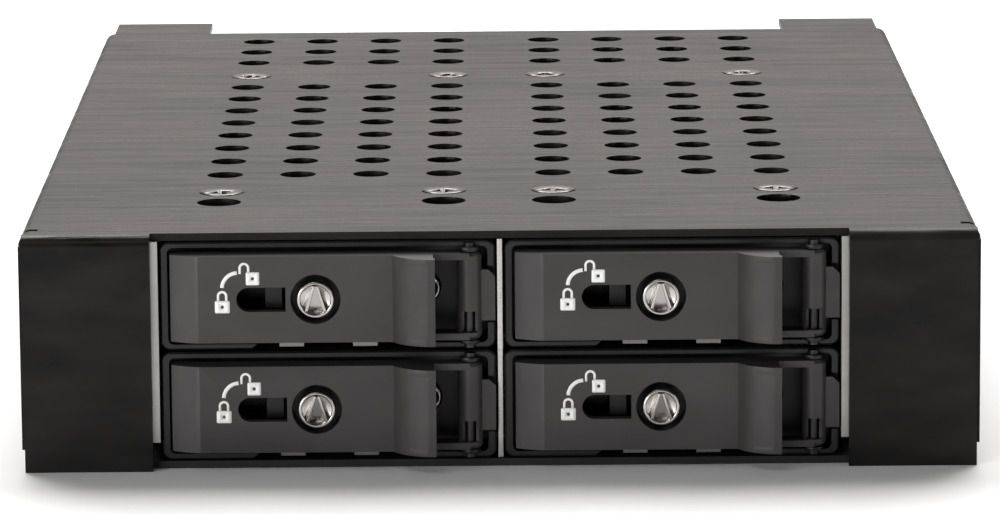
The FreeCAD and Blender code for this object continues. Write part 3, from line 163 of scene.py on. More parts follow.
# %% [markdown]
# ## World
# The sky is one warm white of changing strength. A direction's Y and Z, added together, say how
# far it points backwards and upwards, and a Map Range turns that into the strength. The blend is
# steep just above the rear horizon, where the top's brush lines mirror it, so that each line
# catches a slightly different grey. In front the sky is almost black.

# %% Blend the world from dim in front to bright behind
SKY_START, SKY_END = 0.95, 1.4
SKY_DIM, SKY_BRIGHT = 0.03, 1.83
SKY_COLOUR = (1.0, 0.955, 0.92, 1)


def math_node(tree, operation, *values):
    """Output of a Math node whose inputs are sockets or plain numbers."""
    node = tree.nodes.new("ShaderNodeMath")
    node.operation = operation
    for index, value in enumerate(values):
        if isinstance(value, (int, float)):
            node.inputs[index].default_value = value
        else:
            tree.links.new(value, node.inputs[index])
    return node.outputs[0]


world = bpy.data.worlds.new("studio")
world.use_nodes = True
sky = world.node_tree
direction = sky.nodes.new("ShaderNodeTexCoord")
axes = sky.nodes.new("ShaderNodeSeparateXYZ")
sky.links.new(direction.outputs["Generated"], axes.inputs["Vector"])
blend = sky.nodes.new("ShaderNodeMapRange")
blend.inputs["From Min"].default_value = SKY_START
blend.inputs["From Max"].default_value = SKY_END
blend.inputs["To Min"].default_value = SKY_DIM
blend.inputs["To Max"].default_value = SKY_BRIGHT
sky.links.new(math_node(sky, "ADD", axes.outputs["Y"], axes.outputs["Z"]), blend.inputs["Value"])
sky.links.new(blend.outputs["Result"], sky.nodes["Background"].inputs["Strength"])
sky.nodes["Background"].inputs["Color"].default_value = SKY_COLOUR
bpy.context.scene.world = world
bpy.context.scene.view_settings.view_transform = "Standard"
bpy.context.scene.view_settings.look = "None"
print("world", world.name)

# %% [markdown]
# ## Shared surface effects
# Four effects appear in the finishes, so each is a node group that is built once. The noises
# read Object coordinates, which are metres here, so one value means the same real size on any
# part. A group only puts out masks and heights; each material decides what they do.
#
# *Brush lines* are noise that is stretched many times along X, the way an abrasive belt leaves
# sheet metal: broken lines a few millimetres long, over broader bands. *Speckle* is the fine
# tooth of moulded plastic or powder paint. *Facing up* is one on level faces and weak on upright
# ones, because the cover's lines stand out on its top and hardly at all on its folded ears.
# *Handling* is a broad, soft mask for the uneven sheen that fingers and dust leave.


# %% Build the shared node groups
def new_group(name, inputs, outputs):
    """Empty shader group with float inputs and outputs, and its two end nodes."""
    group = bpy.data.node_groups.new(name, "ShaderNodeTree")
    for label, default in inputs:
        socket = group.interface.new_socket(label, in_out="INPUT", socket_type="NodeSocketFloat")
        socket.default_value = default
    for label in outputs:
        group.interface.new_socket(label, in_out="OUTPUT", socket_type="NodeSocketFloat")
    return group, group.nodes.new("NodeGroupInput"), group.nodes.new("NodeGroupOutput")


def noise(tree, scale, detail, stretch=(1, 1, 1)):
    """Noise on Object coordinates that are first scaled by a vector."""
    place = tree.nodes.new("ShaderNodeTexCoord")
    mapping = tree.nodes.new("ShaderNodeMapping")
    mapping.inputs["Scale"].default_value = stretch
    node = tree.nodes.new("ShaderNodeTexNoise")
    node.inputs["Detail"].default_value = detail
    node.inputs["Scale"].default_value = scale
    tree.links.new(place.outputs["Object"], mapping.inputs["Vector"])
    tree.links.new(mapping.outputs["Vector"], node.inputs["Vector"])
    return node.outputs["Fac"]


def build_brush_lines():
    """Fine broken lines along X over broader bands, in equal shares."""
    group, ends_in, ends_out = new_group("brush_lines", [("Depth", 1.0)], ["Lines"])
    fine = noise(group, scale=1150, detail=3, stretch=(0.09, 1, 0.25))
    broad = noise(group, scale=480, detail=2, stretch=(0.05, 1, 0.2))
    lines = math_node(group, "MULTIPLY_ADD", fine, 0.5, math_node(group, "MULTIPLY", broad, 0.5))
    depth = math_node(group, "MULTIPLY", lines, ends_in.outputs["Depth"])
    group.links.new(depth, ends_out.inputs["Lines"])
    return group


def build_noise_group(name, output, scale, detail):
    """Plain noise of one scale, multiplied by a strength."""
    group, ends_in, ends_out = new_group(name, [("Strength", 1.0)], [output])
    grain = noise(group, scale, detail)
    group.links.new(math_node(group, "MULTIPLY", grain, ends_in.outputs["Strength"]),
                    ends_out.inputs[output])
    return group


def build_facing_up(upright, level_from=0.5):
    """Mask that is one on faces that look up and weak on upright ones."""
    group, ends_in, ends_out = new_group("facing_up", [("Strength", 1.0)], ["Mask"])
    geometry = group.nodes.new("ShaderNodeNewGeometry")
    axes = group.nodes.new("ShaderNodeSeparateXYZ")
    rise = group.nodes.new("ShaderNodeMapRange")
    rise.inputs["From Min"].default_value = level_from
    rise.inputs["To Min"].default_value = upright
    group.links.new(geometry.outputs["True Normal"], axes.inputs["Vector"])
    group.links.new(axes.outputs["Z"], rise.inputs["Value"])
    mask = math_node(group, "MULTIPLY", rise.outputs["Result"], ends_in.outputs["Strength"])
    group.links.new(mask, ends_out.inputs["Mask"])
    return group


BRUSH_LINES = build_brush_lines()
FACING_UP = build_facing_up(upright=0.06)
SPECKLE = build_noise_group("speckle", "Grain", scale=5200, detail=2)
HANDLING = build_noise_group("handling", "Mask", scale=55, detail=4)
print("node groups:", [group.name for group in (BRUSH_LINES, FACING_UP, SPECKLE, HANDLING)])

# %% [markdown]
# ## One recipe for every finish
# Each material is a Principled shader with three things that vary over the surface: colour
# between two close shades, roughness between two values, and a small bump. One group drives the
# fine detail, so on the cover a line that is lighter is also rougher and higher, and *handling*
# adds the broad changes of sheen. Values that are the same everywhere are set on the shader's
# own sockets. Where a mask is given, the bump's height fades with it.


# %% Write the material recipe
def add_group(tree, group, value=1.0):
    """Output of a group node with its single input set."""
    node = tree.nodes.new("ShaderNodeGroup")
    node.node_tree = group
    node.inputs[0].default_value = value
    return node.outputs[0]


def between(tree, driver, low, high, spread=0.2):
    """Value between two ends; the spread is how far the mask goes either side of a half."""
    node = tree.nodes.new("ShaderNodeMapRange")
    node.inputs["From Min"].default_value = 0.5 - spread
    node.inputs["From Max"].default_value = 0.5 + spread
    node.inputs["To Min"].default_value = low
    node.inputs["To Max"].default_value = high
    tree.links.new(driver, node.inputs["Value"])
    return node.outputs["Result"]


def make_finish(name, dark, light, rough, detail, bump, metallic=0.0, bump_reach=0.04 * MM,
                specular=0.5, spread=0.2, fine_rough=0.0, fade=None):
    """Material with two shades, two roughness values and a bump from one detail group."""
    material = bpy.data.materials.new(name)
    material.use_nodes = True
    tree = material.node_tree
    shader = tree.nodes["Principled BSDF"]
    shader.inputs["Metallic"].default_value = metallic
    shader.inputs["Specular IOR Level"].default_value = specular
    fine, broad = add_group(tree, detail), add_group(tree, HANDLING)
    colour = tree.nodes.new("ShaderNodeMix")
    colour.data_type = "RGBA"
    colour.inputs["A"].default_value = (*dark, 1)
    colour.inputs["B"].default_value = (*light, 1)
    tree.links.new(between(tree, fine, 0, 1, spread), colour.inputs["Factor"])
    tree.links.new(colour.outputs["Result"], shader.inputs["Base Color"])
    roughness = math_node(tree, "ADD", between(tree, broad, *rough),
                          between(tree, fine, -fine_rough, fine_rough, spread))
    tree.links.new(roughness, shader.inputs["Roughness"])
    height = tree.nodes.new("ShaderNodeBump")
    height.inputs["Strength"].default_value = bump
    height.inputs["Distance"].default_value = bump_reach
    relief = math_node(tree, "MULTIPLY", fine, add_group(tree, fade)) if fade else fine
    tree.links.new(relief, height.inputs["Height"])
    tree.links.new(height.outputs["Normal"], shader.inputs["Normal"])
    return material


print("the recipe's groups:", [group.name for group in bpy.data.node_groups])

# %% [markdown]
# ## The finishes
# The cover is black anodised sheet, brushed along X. Its shader is a dark, weakly shining coat
# with a deep, fine bump, and not a metal, because its lines show by what they mirror and its
# upright sides stay black. The levers have a charcoal satin coat with faint lines, the frames are
# moulded black, and the liners are plated sheet whose colour is darkened with painted shade.
# Chrome is used on the lock heads alone, where it is the brightest thing in view, and the signs
# are printed in white.

# %% Make the finishes
FINISH_VALUES = {
    "cover_black": {
        "dark": (0.005, 0.0045, 0.0042), "light": (0.016, 0.0148, 0.014), "rough": (0.32, 0.44),
        "detail": BRUSH_LINES, "bump": 1.0, "bump_reach": 0.36 * MM, "specular": 0.13,
        "spread": 0.1, "fine_rough": 0.12, "fade": FACING_UP},
    "base_black": {
        "dark": (0.012, 0.011, 0.011), "light": (0.020, 0.019, 0.018), "rough": (0.5, 0.6),
        "detail": SPECKLE, "bump": 0.2, "specular": 0.3},
    "bare_sheet": {
        "dark": (0.44, 0.43, 0.42), "light": (0.60, 0.59, 0.58), "rough": (0.3, 0.42),
        "detail": SPECKLE, "bump": 0.1, "metallic": 1.0},
    # The liners' colours are the bare sheet's, darkened: painted shade for the gap beside the
    # trays.
    "shaded_liner_sheet": {
        "dark": (0.29, 0.285, 0.28), "light": (0.40, 0.395, 0.385), "rough": (0.3, 0.42),
        "detail": BRUSH_LINES, "bump": 0.3, "metallic": 1.0},
    "frame_black": {
        "dark": (0.005, 0.0047, 0.0045), "light": (0.010, 0.0095, 0.009), "rough": (0.3, 0.42),
        "detail": SPECKLE, "bump": 0.25, "specular": 0.38},
    "lever_grey": {
        "dark": (0.032, 0.0285, 0.028), "light": (0.046, 0.0418, 0.041), "rough": (0.38, 0.48),
        "detail": BRUSH_LINES, "bump": 0.35, "specular": 0.4, "spread": 0.15},
    "chrome": {
        "dark": (0.40, 0.385, 0.37), "light": (0.56, 0.54, 0.525), "rough": (0.18, 0.3),
        "detail": HANDLING, "bump": 0.02, "metallic": 1.0},
    "bright_screw": {
        "dark": (0.34, 0.33, 0.32), "light": (0.46, 0.45, 0.43), "rough": (0.25, 0.36),
        "detail": SPECKLE, "bump": 0.1, "metallic": 1.0},
    "cover_screw": {
        "dark": (0.11, 0.108, 0.104), "light": (0.17, 0.167, 0.16), "rough": (0.2, 0.3),
        "detail": SPECKLE, "bump": 0.05, "metallic": 1.0},
    "dark_screw": {
        "dark": (0.03, 0.03, 0.032), "light": (0.05, 0.05, 0.052), "rough": (0.35, 0.45),
        "detail": SPECKLE, "bump": 0.1, "metallic": 0.8},
    "steel_pin": {
        "dark": (0.03, 0.03, 0.03), "light": (0.06, 0.06, 0.06), "rough": (0.35, 0.45),
        "detail": BRUSH_LINES, "bump": 0.1, "metallic": 1.0},
    "carrier_sheet": {
        "dark": (0.17, 0.167, 0.162), "light": (0.24, 0.236, 0.23), "rough": (0.36, 0.46),
        "detail": BRUSH_LINES, "bump": 0.2, "metallic": 1.0},
    "spreader_black": {
        "dark": (0.012, 0.012, 0.013), "light": (0.02, 0.02, 0.021), "rough": (0.4, 0.5),
        "detail": SPECKLE, "bump": 0.1, "metallic": 0.3},
    "thermal_pad": {
        "dark": (0.34, 0.39, 0.44), "light": (0.42, 0.47, 0.52), "rough": (0.75, 0.9),
        "detail": SPECKLE, "bump": 0.4},
    "clip_plastic": {
        "dark": (0.03, 0.09, 0.15), "light": (0.04, 0.11, 0.18), "rough": (0.35, 0.45),
        "detail": SPECKLE, "bump": 0.15},
    "circuit_board": {
        "dark": (0.008, 0.035, 0.022), "light": (0.014, 0.05, 0.03), "rough": (0.25, 0.35),
        "detail": SPECKLE, "bump": 0.1},
    "connector_black": {
        "dark": (0.012, 0.012, 0.012), "light": (0.02, 0.02, 0.02), "rough": (0.35, 0.45),
        "detail": SPECKLE, "bump": 0.15},
    "chip_black": {
        "dark": (0.016, 0.016, 0.016), "light": (0.024, 0.024, 0.024), "rough": (0.5, 0.6),
        "detail": SPECKLE, "bump": 0.2},
    "sign_white": {
        "dark": (0.88, 0.88, 0.87), "light": (0.94, 0.94, 0.93), "rough": (0.45, 0.55),
        "detail": SPECKLE, "bump": 0.1},
}
FINISHES = {name: make_finish(name, **values) for name, values in FINISH_VALUES.items()}
print(len(FINISHES), "finishes")

# %% [markdown]
# ## Dress the CAD nodes
# Every CAD node names a material slot in the record. The finish of the same name goes on it, so
# a part that is never replaced below still looks right. The record also says which body carries
# each node, and a piece that stands for a node has to ride on the same body.

# %% Assign the finishes
BODIES = frame["record"]["behaviour"]["bodies"]
BODY_OF = {node: body for body, nodes in BODIES.items() for node in nodes}
SLOT_OF = {part["node"]: part["material_slot"] for part in frame["record"]["subparts"]}
for node, slot in SLOT_OF.items():
    mesh = frame["nodes"][node].data
    mesh.materials.clear()
    mesh.materials.append(FINISHES[slot])

# %% [markdown]
# ## Soft edges for folded sheet and moulded parts
# Real sheet and real mouldings never end in a mathematical corner, and the thin highlight along
# an edge is what makes black parts readable. The CAD mesh is triangles that don't share corners,
# so a copy is merged first, flat areas are joined into single faces, and then every edge that
# turns more than 30 degrees is bevelled. Round walls turn far less from facet to facet, so they
# are left alone.

# %% Merge a copy of a CAD node and bevel its edges
MERGE_REACH = 0.002 * MM
FLAT_TURN, SHARP_TURN = 1, 30


def merged_copy(node):
    """Working mesh of a CAD node with shared corners and joined flats."""
    work = bmesh.new()
    work.from_mesh(frame["nodes"][node].data)
    bmesh.ops.remove_doubles(work, verts=work.verts, dist=MERGE_REACH)
    bmesh.ops.dissolve_limit(work, angle_limit=math.radians(FLAT_TURN), verts=work.verts,
                             edges=work.edges)
    return work


def soften_edges(work, width, segments, turn=SHARP_TURN):
    """Bevel every edge whose two faces meet at more than an angle in degrees."""
    sharp = [edge for edge in work.edges
             if edge.is_manifold and edge.calc_face_angle() > math.radians(turn)]
    bmesh.ops.bevel(work, geom=sharp, offset=width, offset_type="OFFSET", segments=segments,
                    profile=0.5, affect="EDGES", clamp_overlap=True, material=-1)


sample = merged_copy("outer_cover")
print("the cover merges into", len(sample.faces), "faces")
sample.free()

# %% [markdown]
# ## From a working mesh to a piece
# A working mesh becomes an object that stands for its CAD node. CAD meshes carry stored normals,
# which no longer fit once the edges are round, so they are taken off. A Weighted Normal modifier
# keeps the large faces flat to the eye. The slot is the record's, and the look is the finish of
# the same name, unless the real piece is finished in another way.


# %% Finish a piece
def finish_piece(work, name, slot, body, *nodes, look=None):
    """Turn a working mesh into a shaded object that rides on a body and stands for nodes."""
    mesh = bpy.data.meshes.new(name)
    work.to_mesh(mesh)
    work.free()
    if "custom_normal" in mesh.attributes:
        mesh.attributes.remove(mesh.attributes["custom_normal"])
    mesh.shade_smooth()
    mesh.materials.clear()
    mesh.materials.append(FINISHES[look or slot])
    piece = bpy.data.objects.new(name, mesh)
    bpy.context.scene.collection.objects.link(piece)
    piece.modifiers.new("even_shading", "WEIGHTED_NORMAL").keep_sharp = True
    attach(piece, body)
    if nodes:
        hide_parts(*nodes)


print("the record's nodes use", len(set(SLOT_OF.values())), "slots")

# %% [markdown]
# ## The levers' bent tips
# A lever's left end leans back a little, so that its last few millimetres catch a different
# light from the flat face. A plane cuts the mesh across, and each corner left of the cut moves
# back in proportion to its distance from it. The bend comes after the bevel, because a cut
# through the edges would leave the bevel less room and shrink it. The cut's own edges are marked
# sharp, so that the fold stays crisp.

# %% Bend a tip, and soften a node
TIP_REACH, TIP_DEPTH = 3.0 * MM, 0.6 * MM
CREASE_REACH = 0.001 * MM


def bend_tip(work):
    """Lean the left end back from a straight, sharp crease."""
    crease = min(vert.co.x for vert in work.verts) + TIP_REACH
    bmesh.ops.bisect_plane(work, geom=work.verts[:] + work.edges[:] + work.faces[:],
                           plane_co=(crease, 0, 0), plane_no=(1, 0, 0))
    for vert in work.verts:
        if vert.co.x < crease:
            vert.co.y += TIP_DEPTH * (crease - vert.co.x) / TIP_REACH
    for edge in work.edges:
        edge.smooth = max(abs(vert.co.x - crease) for vert in edge.verts) > CREASE_REACH


def soften(node, width, segments=2, bent=False, look=None):
    """Bevelled piece that replaces a CAD node; the width is in millimetres."""
    work = merged_copy(node)
    soften_edges(work, width * MM, segments)
    if bent:
        bend_tip(work)
    finish_piece(work, "soft_" + node, SLOT_OF[node], BODY_OF[node], node, look=look)


tip_lean = math.degrees(math.atan2(TIP_DEPTH, TIP_REACH))
print("a lever's tip leans back by", round(tip_lean, 1), "degrees")

# %% [markdown]
# ## The cage
# Folded sheet keeps a small radius along its cut edges, and the moulded sockets at the rear have
# a similar one. The two liners between the cover and the trays are plated sheet like the rest,
# but their colour is darkened as painted shade for the deep gap they sit in. They are also
# faintly brushed, so they have a finish of their own.

# %% Soften the cage's parts
CAGE_WIDTHS = {"outer_cover": 0.12, "base_pan": 0.12, "left_liner": 0.1, "right_liner": 0.1,
               "centre_divider": 0.1, "rear_plate": 0.12, "bay_shelves": 0.1,
               "drive_sockets": 0.12, "data_ports": 0.12, "power_port": 0.12}
# The liners take the finish whose colour is darkened with painted shade.
for node, width in CAGE_WIDTHS.items():
    soften(node, width, look="shaded_liner_sheet" if "liner" in node else None)
print(len(CAGE_WIDTHS), "cage parts softened")

# %% [markdown]
# ## Tray parts
# The same treatment suits every tray part, with a width that follows how the part is made: a
# cast lever gets a generous edge in three steps, an extruded carrier and its finned spreader a
# small one. The pawl behind each lock is blackened steel, so it takes the base pan's black.

# %% Soften the tray parts
TRAY_PARTS = {
    "frame": {"width": 0.15},
    "lever": {"width": 0.2, "segments": 3, "bent": True},
    "carrier": {"width": 0.08},
    "heat_spreader": {"width": 0.1},
    "drive_clip": {"width": 0.2},
    "lock_pawl": {"width": 0.1, "look": "base_black"},
}
for tray in TRAYS:
    for part, values in TRAY_PARTS.items():
        soften(f"{part}_{tray}", **values)
print(len(TRAYS) * len(TRAY_PARTS), "tray parts softened")

# %% [markdown]
# ## Find the screws
# A node of screws is one mesh that holds several solids, and each of them is one screw. Corners
# that an edge joins belong together, so a walk from corner to corner finds the solids one by
# one. The box of each gives the screw's centre, its length and the radius of its head.


# %% Measure each solid of a node
def solids_of(node):
    """Lowest and highest corner of each separate solid in a CAD node."""
    work = merged_copy(node)
    left, boxes = set(work.verts), []
    while left:
        group, waiting = set(), [left.pop()]
        while waiting:
            vert = waiting.pop()
            group.add(vert)
            joined = {edge.other_vert(vert) for edge in vert.link_edges} & left
            left -= joined
            waiting += joined
        boxes.append((Vector(min(vert.co[axis] for vert in group) for axis in range(3)),
                      Vector(max(vert.co[axis] for vert in group) for axis in range(3))))
    work.free()
    return sorted(boxes, key=lambda box: tuple(box[0]))


print(len(solids_of("cover_screws")), "cover screws")

# %% [markdown]
# ## Turn a screw
# A screw is a turned profile, so half of its outline is spun about its axis. Its flat top is
# filled between the head's circle and the mouth of the driver recess, which is a cross or, on
# the tray frames, a hexagonal socket. A second, slightly smaller outline is the recess's floor,
# and the two are bridged. Every screw is made at the origin, pointing up, and then moved.

# %% Spin a screw and sink its recess
SCREW_STEPS = 32
CROSS_MOUTH, CROSS_FLOOR = (0.5, 0.13), (0.3, 0.08)
SOCKET_MOUTH, SOCKET_FLOOR = 0.66, 0.62
RECESS_DEPTH = 0.55
CROWN_RINGS = ((0.86, 0.0), (0.95, 0.3), (1.0, 1.0))


def cross(reach, half):
    """Twelve corners of a cross, anticlockwise."""
    quarter = [Vector((half, half)), Vector((half, reach)), Vector((-half, reach))]
    return [Matrix.Rotation(turn_index * math.pi / 2, 2) @ point
            for turn_index in range(4) for point in quarter]


def hexagon(radius):
    """Six corners of a hexagon, anticlockwise."""
    return [Matrix.Rotation(turn_index * math.tau / 6, 2) @ Vector((radius, 0))
            for turn_index in range(6)]


def add_line(work, points, closed=False):
    """Chain of edges through points, which may close into a loop."""
    verts = [work.verts.new(point) for point in points]
    after = verts[1:] + verts[:1] if closed else verts[1:]
    return [work.edges.new(pair) for pair in zip(verts, after)]


def add_loop(work, points, height):
    """Closed loop of edges at a height."""
    return add_line(work, [(*point, height) for point in points], closed=True)


def spin_profile(work, profile, steps):
    """Spin a line of radii and heights about Z; return its first and its last ring of edges."""
    edges = add_line(work, [(radius, 0, height) for radius, height in profile])
    verts = list({vert for edge in edges for vert in edge.verts})
    bmesh.ops.spin(work, geom=verts + edges, cent=(0, 0, 0), axis=(0, 0, 1), angle=math.tau,
                   steps=steps, use_merge=True)
    middle = (profile[0][1] + profile[-1][1]) / 2
    rims = [edge for edge in work.edges if edge.is_boundary]
    high = [edge for edge in rims if edge.verts[0].co.z > middle]
    low = [edge for edge in rims if edge.verts[0].co.z < middle]
    return (high, low) if profile[0][1] > middle else (low, high)


def add_screw(work, head, seat, crown, socket, place):
    """One screw: its head radius, its outline below the head, and its driver recess."""
    before = set(work.verts)
    rings = [(head, 0.0)]
    if crown:
        rings = [(head * share, -crown * drop) for share, drop in CROWN_RINGS]
    top, tip = spin_profile(work, rings + seat, SCREW_STEPS)
    bmesh.ops.contextual_create(work, geom=tip)
    shape, mouth, floor = ((hexagon, (SOCKET_MOUTH,), (SOCKET_FLOOR,)) if socket
                           else (cross, CROSS_MOUTH, CROSS_FLOOR))
    mouth = add_loop(work, [point * head for point in shape(*mouth)], 0)
    floor = add_loop(work, [point * head for point in shape(*floor)], -head * RECESS_DEPTH)
    bmesh.ops.triangle_fill(work, edges=top + mouth, use_beauty=True)
    bmesh.ops.bridge_loops(work, edges=mouth + floor)
    bmesh.ops.contextual_create(work, geom=floor)
    made = [vert for vert in work.verts if vert not in before]
    bmesh.ops.transform(work, matrix=place, verts=made)


trial = bmesh.new()
add_screw(trial, MM, [(0.5 * MM, -3 * MM)], 0.0, False, Matrix.Identity(4))
open_edges = sum(edge.is_boundary for edge in trial.edges)
print("a screw has", len(trial.verts), "corners, and", open_edges, "open edges")
trial.free()

# %% [markdown]
# ## Set the screws in place
# The screws that hold the cover and the base are countersunk, so their heads taper down to the
# shank. The others have a cheese head with a crowned top. No two recesses line up on a real
# product, so each screw is turned a little further than the last. The cover's screws have a
# finish of their own, a darker steel with a sharper shine.

# %% Replace the screws
HEAD_SIDE, HEAD_SEAT = 0.35 * MM, 0.36 * MM
FIRST_TURN, NEXT_TURN = 0.4, 0.7
SCREWS = {
    "cover_screws": {"axis": (0, 0, 1), "shank": 1.2 * MM, "look": "cover_screw"},
    "base_screws": {"axis": (0, 0, -1), "shank": 1.2 * MM},
    "backplane_screws": {"axis": (0, -1, 0), "shank": 1.2 * MM, "crown": 0.6 * MM},
}
for tray in TRAYS:
    SCREWS["frame_screws_" + tray] = {"axis": (0, -1, 0), "shank": 0.8 * MM, "crown": 0.3 * MM,
                                      "socket": True}
    SCREWS["spreader_screws_" + tray] = {"axis": (0, 0, 1), "shank": 0.7 * MM, "crown": 0.2 * MM}


def make_screws(node, axis, shank, crown=0.0, socket=False, look=None):
    """Replace a node's screws; the axis is the way that the heads face."""
    along = max(range(3), key=lambda index: abs(axis[index]))
    across = (along + 1) % 3
    face_turn = Vector((0, 0, 1)).rotation_difference(Vector(axis)).to_matrix().to_4x4()
    work = bmesh.new()
    for index, (low, high) in enumerate(solids_of(node)):
        face = (low + high) / 2
        face[along] = high[along] if axis[along] > 0 else low[along]
        length, head = high[along] - low[along], (high[across] - low[across]) / 2
        neck = [(shank, shank - head)]
        if crown:
            neck = [(head, -crown - HEAD_SIDE), (shank, -crown - HEAD_SEAT)]
        spin = Matrix.Rotation(FIRST_TURN + index * NEXT_TURN, 4, "Z")
        add_screw(work, head, neck + [(shank, -length)], crown, socket,
                  Matrix.Translation(face) @ face_turn @ spin)
    bmesh.ops.recalc_face_normals(work, faces=work.faces)
    finish_piece(work, "turned_" + node, SLOT_OF[node], BODY_OF[node], node, look=look)


for node, screw in SCREWS.items():
    make_screws(node, **screw)
print(len(SCREWS), "nodes of screws turned")

# %% [markdown]
# ## Lock heads
# The lock's head is a small chromed casting: a turned rim, a sunken face that dishes towards the
# middle, and two ridges that meet at the top like a tent. Between the ridges the floor falls
# away towards the bottom, which is why it looks black there. The rim is spun, and the face is
# filled between the rim and the ridges' outline. The ridges are a few corners, drawn four times
# at different heights and joined, because no operator makes walls that taper, lean and open out
# at their foot. A fine bevel then rounds what a casting would round.

# %% Build one lock head
LOCK_STEPS = 48
NECK_SHARE, NECK_TOP = 0.56, -1.9
RIM_RINGS = ((1.0, -1.9), (1.0, -0.14), (0.97, -0.04), (0.92, 0.0), (0.87, 0.0), (0.83, -0.06),
             (0.81, -0.34))
RIDGE_FOOT, RIDGE_TIP = -1.22, 1.44
FLOOR_FOOT, FLOOR_TIP = RIDGE_FOOT * 0.96, RIDGE_TIP * 0.98
OUTER_HALVES, RIDGE_HALVES, INNER_HALVES, FLOOR_HALVES = (
    (1.20, 0.34), (1.12, 0.30), (0.80, 0.06), (0.74, 0.05))
FACE_HEIGHT, RIDGE_HEIGHT = -0.62, -0.02
FLOOR_LOW, FLOOR_HIGH = -0.95, -0.2
LOCK_BEVEL, LOCK_TURN = 0.035 * MM, 35


def tent(work, halves, foot_height, tip_height, foot=RIDGE_FOOT, tip=RIDGE_TIP):
    """Four corners of an outline that is wide at its foot and narrow at its tip."""
    foot_half, tip_half = halves
    corners_mm = ((-foot_half, foot, foot_height), (foot_half, foot, foot_height),
                  (tip_half, tip, tip_height), (-tip_half, tip, tip_height))
    return [work.verts.new(Vector(corner) * MM) for corner in corners_mm]


def lock_head(tray):
    """Chromed head with a rim, a sunken face and a tapered pointer of two ridges."""
    node = "lock_head_" + tray
    low, high = corners(node)
    radius, length = (high.x - low.x) / 2, high.y - low.y
    work = bmesh.new()
    profile = [(radius * NECK_SHARE, -length), (radius * NECK_SHARE, NECK_TOP * MM)]
    profile += [(radius * share, height * MM) for share, height in RIM_RINGS]
    back, rim = spin_profile(work, profile, LOCK_STEPS)
    bmesh.ops.contextual_create(work, geom=back)
    outer = tent(work, OUTER_HALVES, FACE_HEIGHT, FACE_HEIGHT)
    ridge = tent(work, RIDGE_HALVES, RIDGE_HEIGHT, RIDGE_HEIGHT)
    inner = tent(work, INNER_HALVES, RIDGE_HEIGHT, RIDGE_HEIGHT)
    floor = tent(work, FLOOR_HALVES, FLOOR_LOW, FLOOR_HIGH, FLOOR_FOOT, FLOOR_TIP)
    heel = [work.verts.new(Vector((side * INNER_HALVES[0], RIDGE_FOOT, FACE_HEIGHT)) * MM)
            for side in (-1, 1)]
    border = [outer[0], heel[0], heel[1], outer[1], outer[2], outer[3]]
    border_edges = [work.edges.new(pair) for pair in zip(border, border[1:] + border[:1])]
    bmesh.ops.triangle_fill(work, edges=rim + border_edges, use_beauty=True)
    for side in (1, 2, 3):
        after = (side + 1) % 4
        for lower, upper in ((outer, ridge), (ridge, inner), (inner, floor)):
            work.faces.new((lower[side], lower[after], upper[after], upper[side]))
    for side in (0, 1):
        work.faces.new((outer[side], ridge[side], inner[side], heel[side]))
        work.faces.new((heel[side], inner[side], floor[side]))
    work.faces.new((heel[0], heel[1], floor[1], floor[0]))
    work.faces.new(floor)
    bmesh.ops.recalc_face_normals(work, faces=work.faces)
    soften_edges(work, LOCK_BEVEL, 2, turn=LOCK_TURN)
    face_centre = Vector(((low.x + high.x) / 2, low.y, (low.z + high.z) / 2))
    place = Matrix.Translation(face_centre) @ Matrix.Rotation(math.pi / 2, 4, "X")
    bmesh.ops.transform(work, matrix=place, verts=work.verts)
    finish_piece(work, "cast_" + node, "chrome", BODY_OF[node], node)


for tray in TRAYS:
    lock_head(tray)
print(len(TRAYS), "lock heads")

# %% [markdown]
# ## Ribbons, arcs and padlocks
# Each lever carries three printed marks beside its lock: a closed padlock, an open padlock and a
# quarter circle between them, which shows the way to turn. All of them are flat strokes or
# plates. A stroke is two lines of corners, one either side of its path, with a bridge between
# them, and a plate is an outline that is filled round its keyhole.

# %% Draw strokes and plates
PLATE_CORNER, KEYHOLE_RADIUS = 0.14, 0.17
KEYHOLE_STEPS, CORNER_STEPS, HOOP_STEPS = 24, 4, 14


def arc_points(centre, radius, start, end, steps):
    """Points along an arc, with angles in degrees."""
    angles = [math.radians(start + (end - start) * step / steps) for step in range(steps + 1)]
    return [Vector(centre) + Vector((math.cos(angle), math.sin(angle))) * radius
            for angle in angles]


def ribbon(work, line, width):
    """Flat strip of even width along a line of points."""
    ways = [(after - before).normalized()
            for before, after in zip(line[:1] + line[:-1], line[1:] + line[-1:])]
    edges = []
    for reach in (width / 2, -width / 2):
        edges += add_line(work, [(point.x - way.y * reach, point.y + way.x * reach, 0)
                                 for point, way in zip(line, ways)])
    bmesh.ops.bridge_loops(work, edges=edges)


def padlock_body(work, centre, width, height):
    """Plate with round corners and a round keyhole."""
    outline = []
    for turn_index, (side, rise) in enumerate(((1, 1), (-1, 1), (-1, -1), (1, -1))):
        corner_centre = (centre[0] + side * (width / 2 - PLATE_CORNER),
                         centre[1] + rise * (height / 2 - PLATE_CORNER))
        start = turn_index * 90
        outline += arc_points(corner_centre, PLATE_CORNER, start, start + 90, CORNER_STEPS)
    keyhole = arc_points(centre, KEYHOLE_RADIUS, 0, 360, KEYHOLE_STEPS)[:-1]
    edges = add_loop(work, outline, 0) + add_loop(work, keyhole, 0)
    bmesh.ops.triangle_fill(work, edges=edges, use_beauty=True)


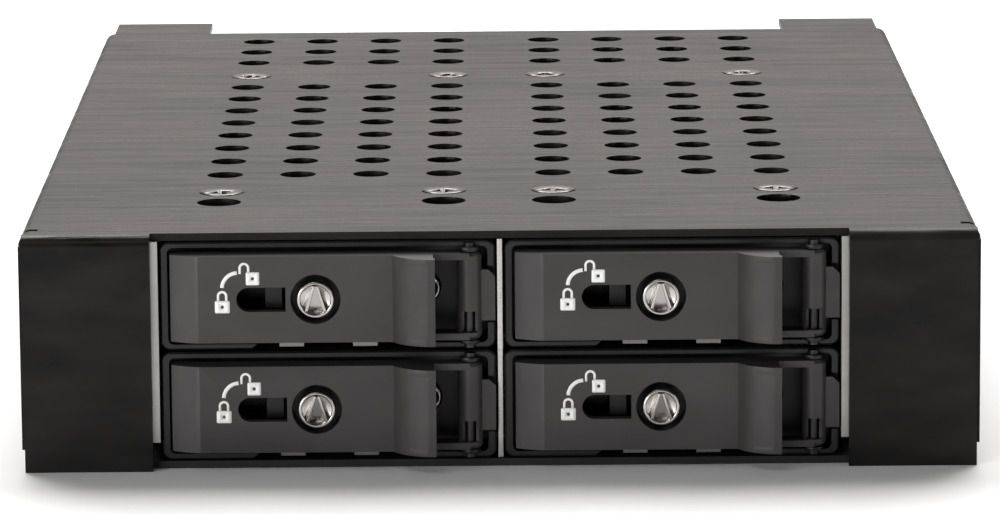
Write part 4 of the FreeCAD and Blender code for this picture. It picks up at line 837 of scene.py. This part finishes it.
def shackle(work, centre, rise, radius, stroke, left_end):
    """Hoop with two legs from a plate's edge; the left leg may end above it."""
    hoop = arc_points((centre[0], centre[1] + rise), radius, 0, 180, HOOP_STEPS)
    right_leg, left_leg = (centre[0] + radius, centre[1]), (centre[0] - radius, left_end)
    ribbon(work, [Vector(right_leg)] + hoop + [Vector(left_leg)], stroke)


quarter = arc_points((0, 0), 1, 0, 90, CORNER_STEPS)
print("a plate's corner has", len(quarter), "points")

# %% [markdown]
# ## Printed signs
# The marks are drawn in millimetres from the lock's centre line and the lever's middle, and then
# moved onto the lever's face. Print has next to no thickness, so the marks stand out by two
# hundredths of a millimetre. They ride on the lever, so they swing with it.

# %% Print the signs
PRINT_DEPTH = 0.02
FACE_BEHIND_LOCK = 0.4 * MM


def signs(tray):
    """Two padlocks and an arc on one lever's flat face."""
    lever_low, lever_high = corners("lever_" + tray)
    lock_low, lock_high = corners("lock_head_" + tray)
    work = bmesh.new()
    padlock_body(work, centre=(-9.82, -0.75), width=1.57, height=1.32)
    shackle(work, centre=(-9.82, -0.12), rise=0.56, radius=0.43, stroke=0.26, left_end=-0.12)
    padlock_body(work, centre=(-6.60, 2.26), width=1.41, height=1.38)
    shackle(work, centre=(-7.48, 2.92), rise=0.50, radius=0.45, stroke=0.25, left_end=2.78)
    ribbon(work, arc_points((-8.17, 1.25), radius=1.65, start=92, end=178, steps=16), width=0.4)
    faces = bmesh.ops.extrude_face_region(work, geom=list(work.faces))["geom"]
    raised = [item for item in faces if isinstance(item, bmesh.types.BMVert)]
    bmesh.ops.translate(work, verts=raised, vec=(0, 0, PRINT_DEPTH))
    bmesh.ops.recalc_face_normals(work, faces=work.faces)
    centre = ((lock_low.x + lock_high.x) / 2, lock_low.y + FACE_BEHIND_LOCK,
              (lever_low.z + lever_high.z) / 2)
    place = (Matrix.Translation(centre) @ Matrix.Rotation(math.pi / 2, 4, "X")
             @ Matrix.Scale(MM, 4))
    bmesh.ops.transform(work, matrix=place, verts=work.verts)
    finish_piece(work, "signs_" + tray, "lever_grey", "lever_" + tray, look="sign_white")


for tray in TRAYS:
    signs(tray)
print(len(TRAYS), "sets of signs")
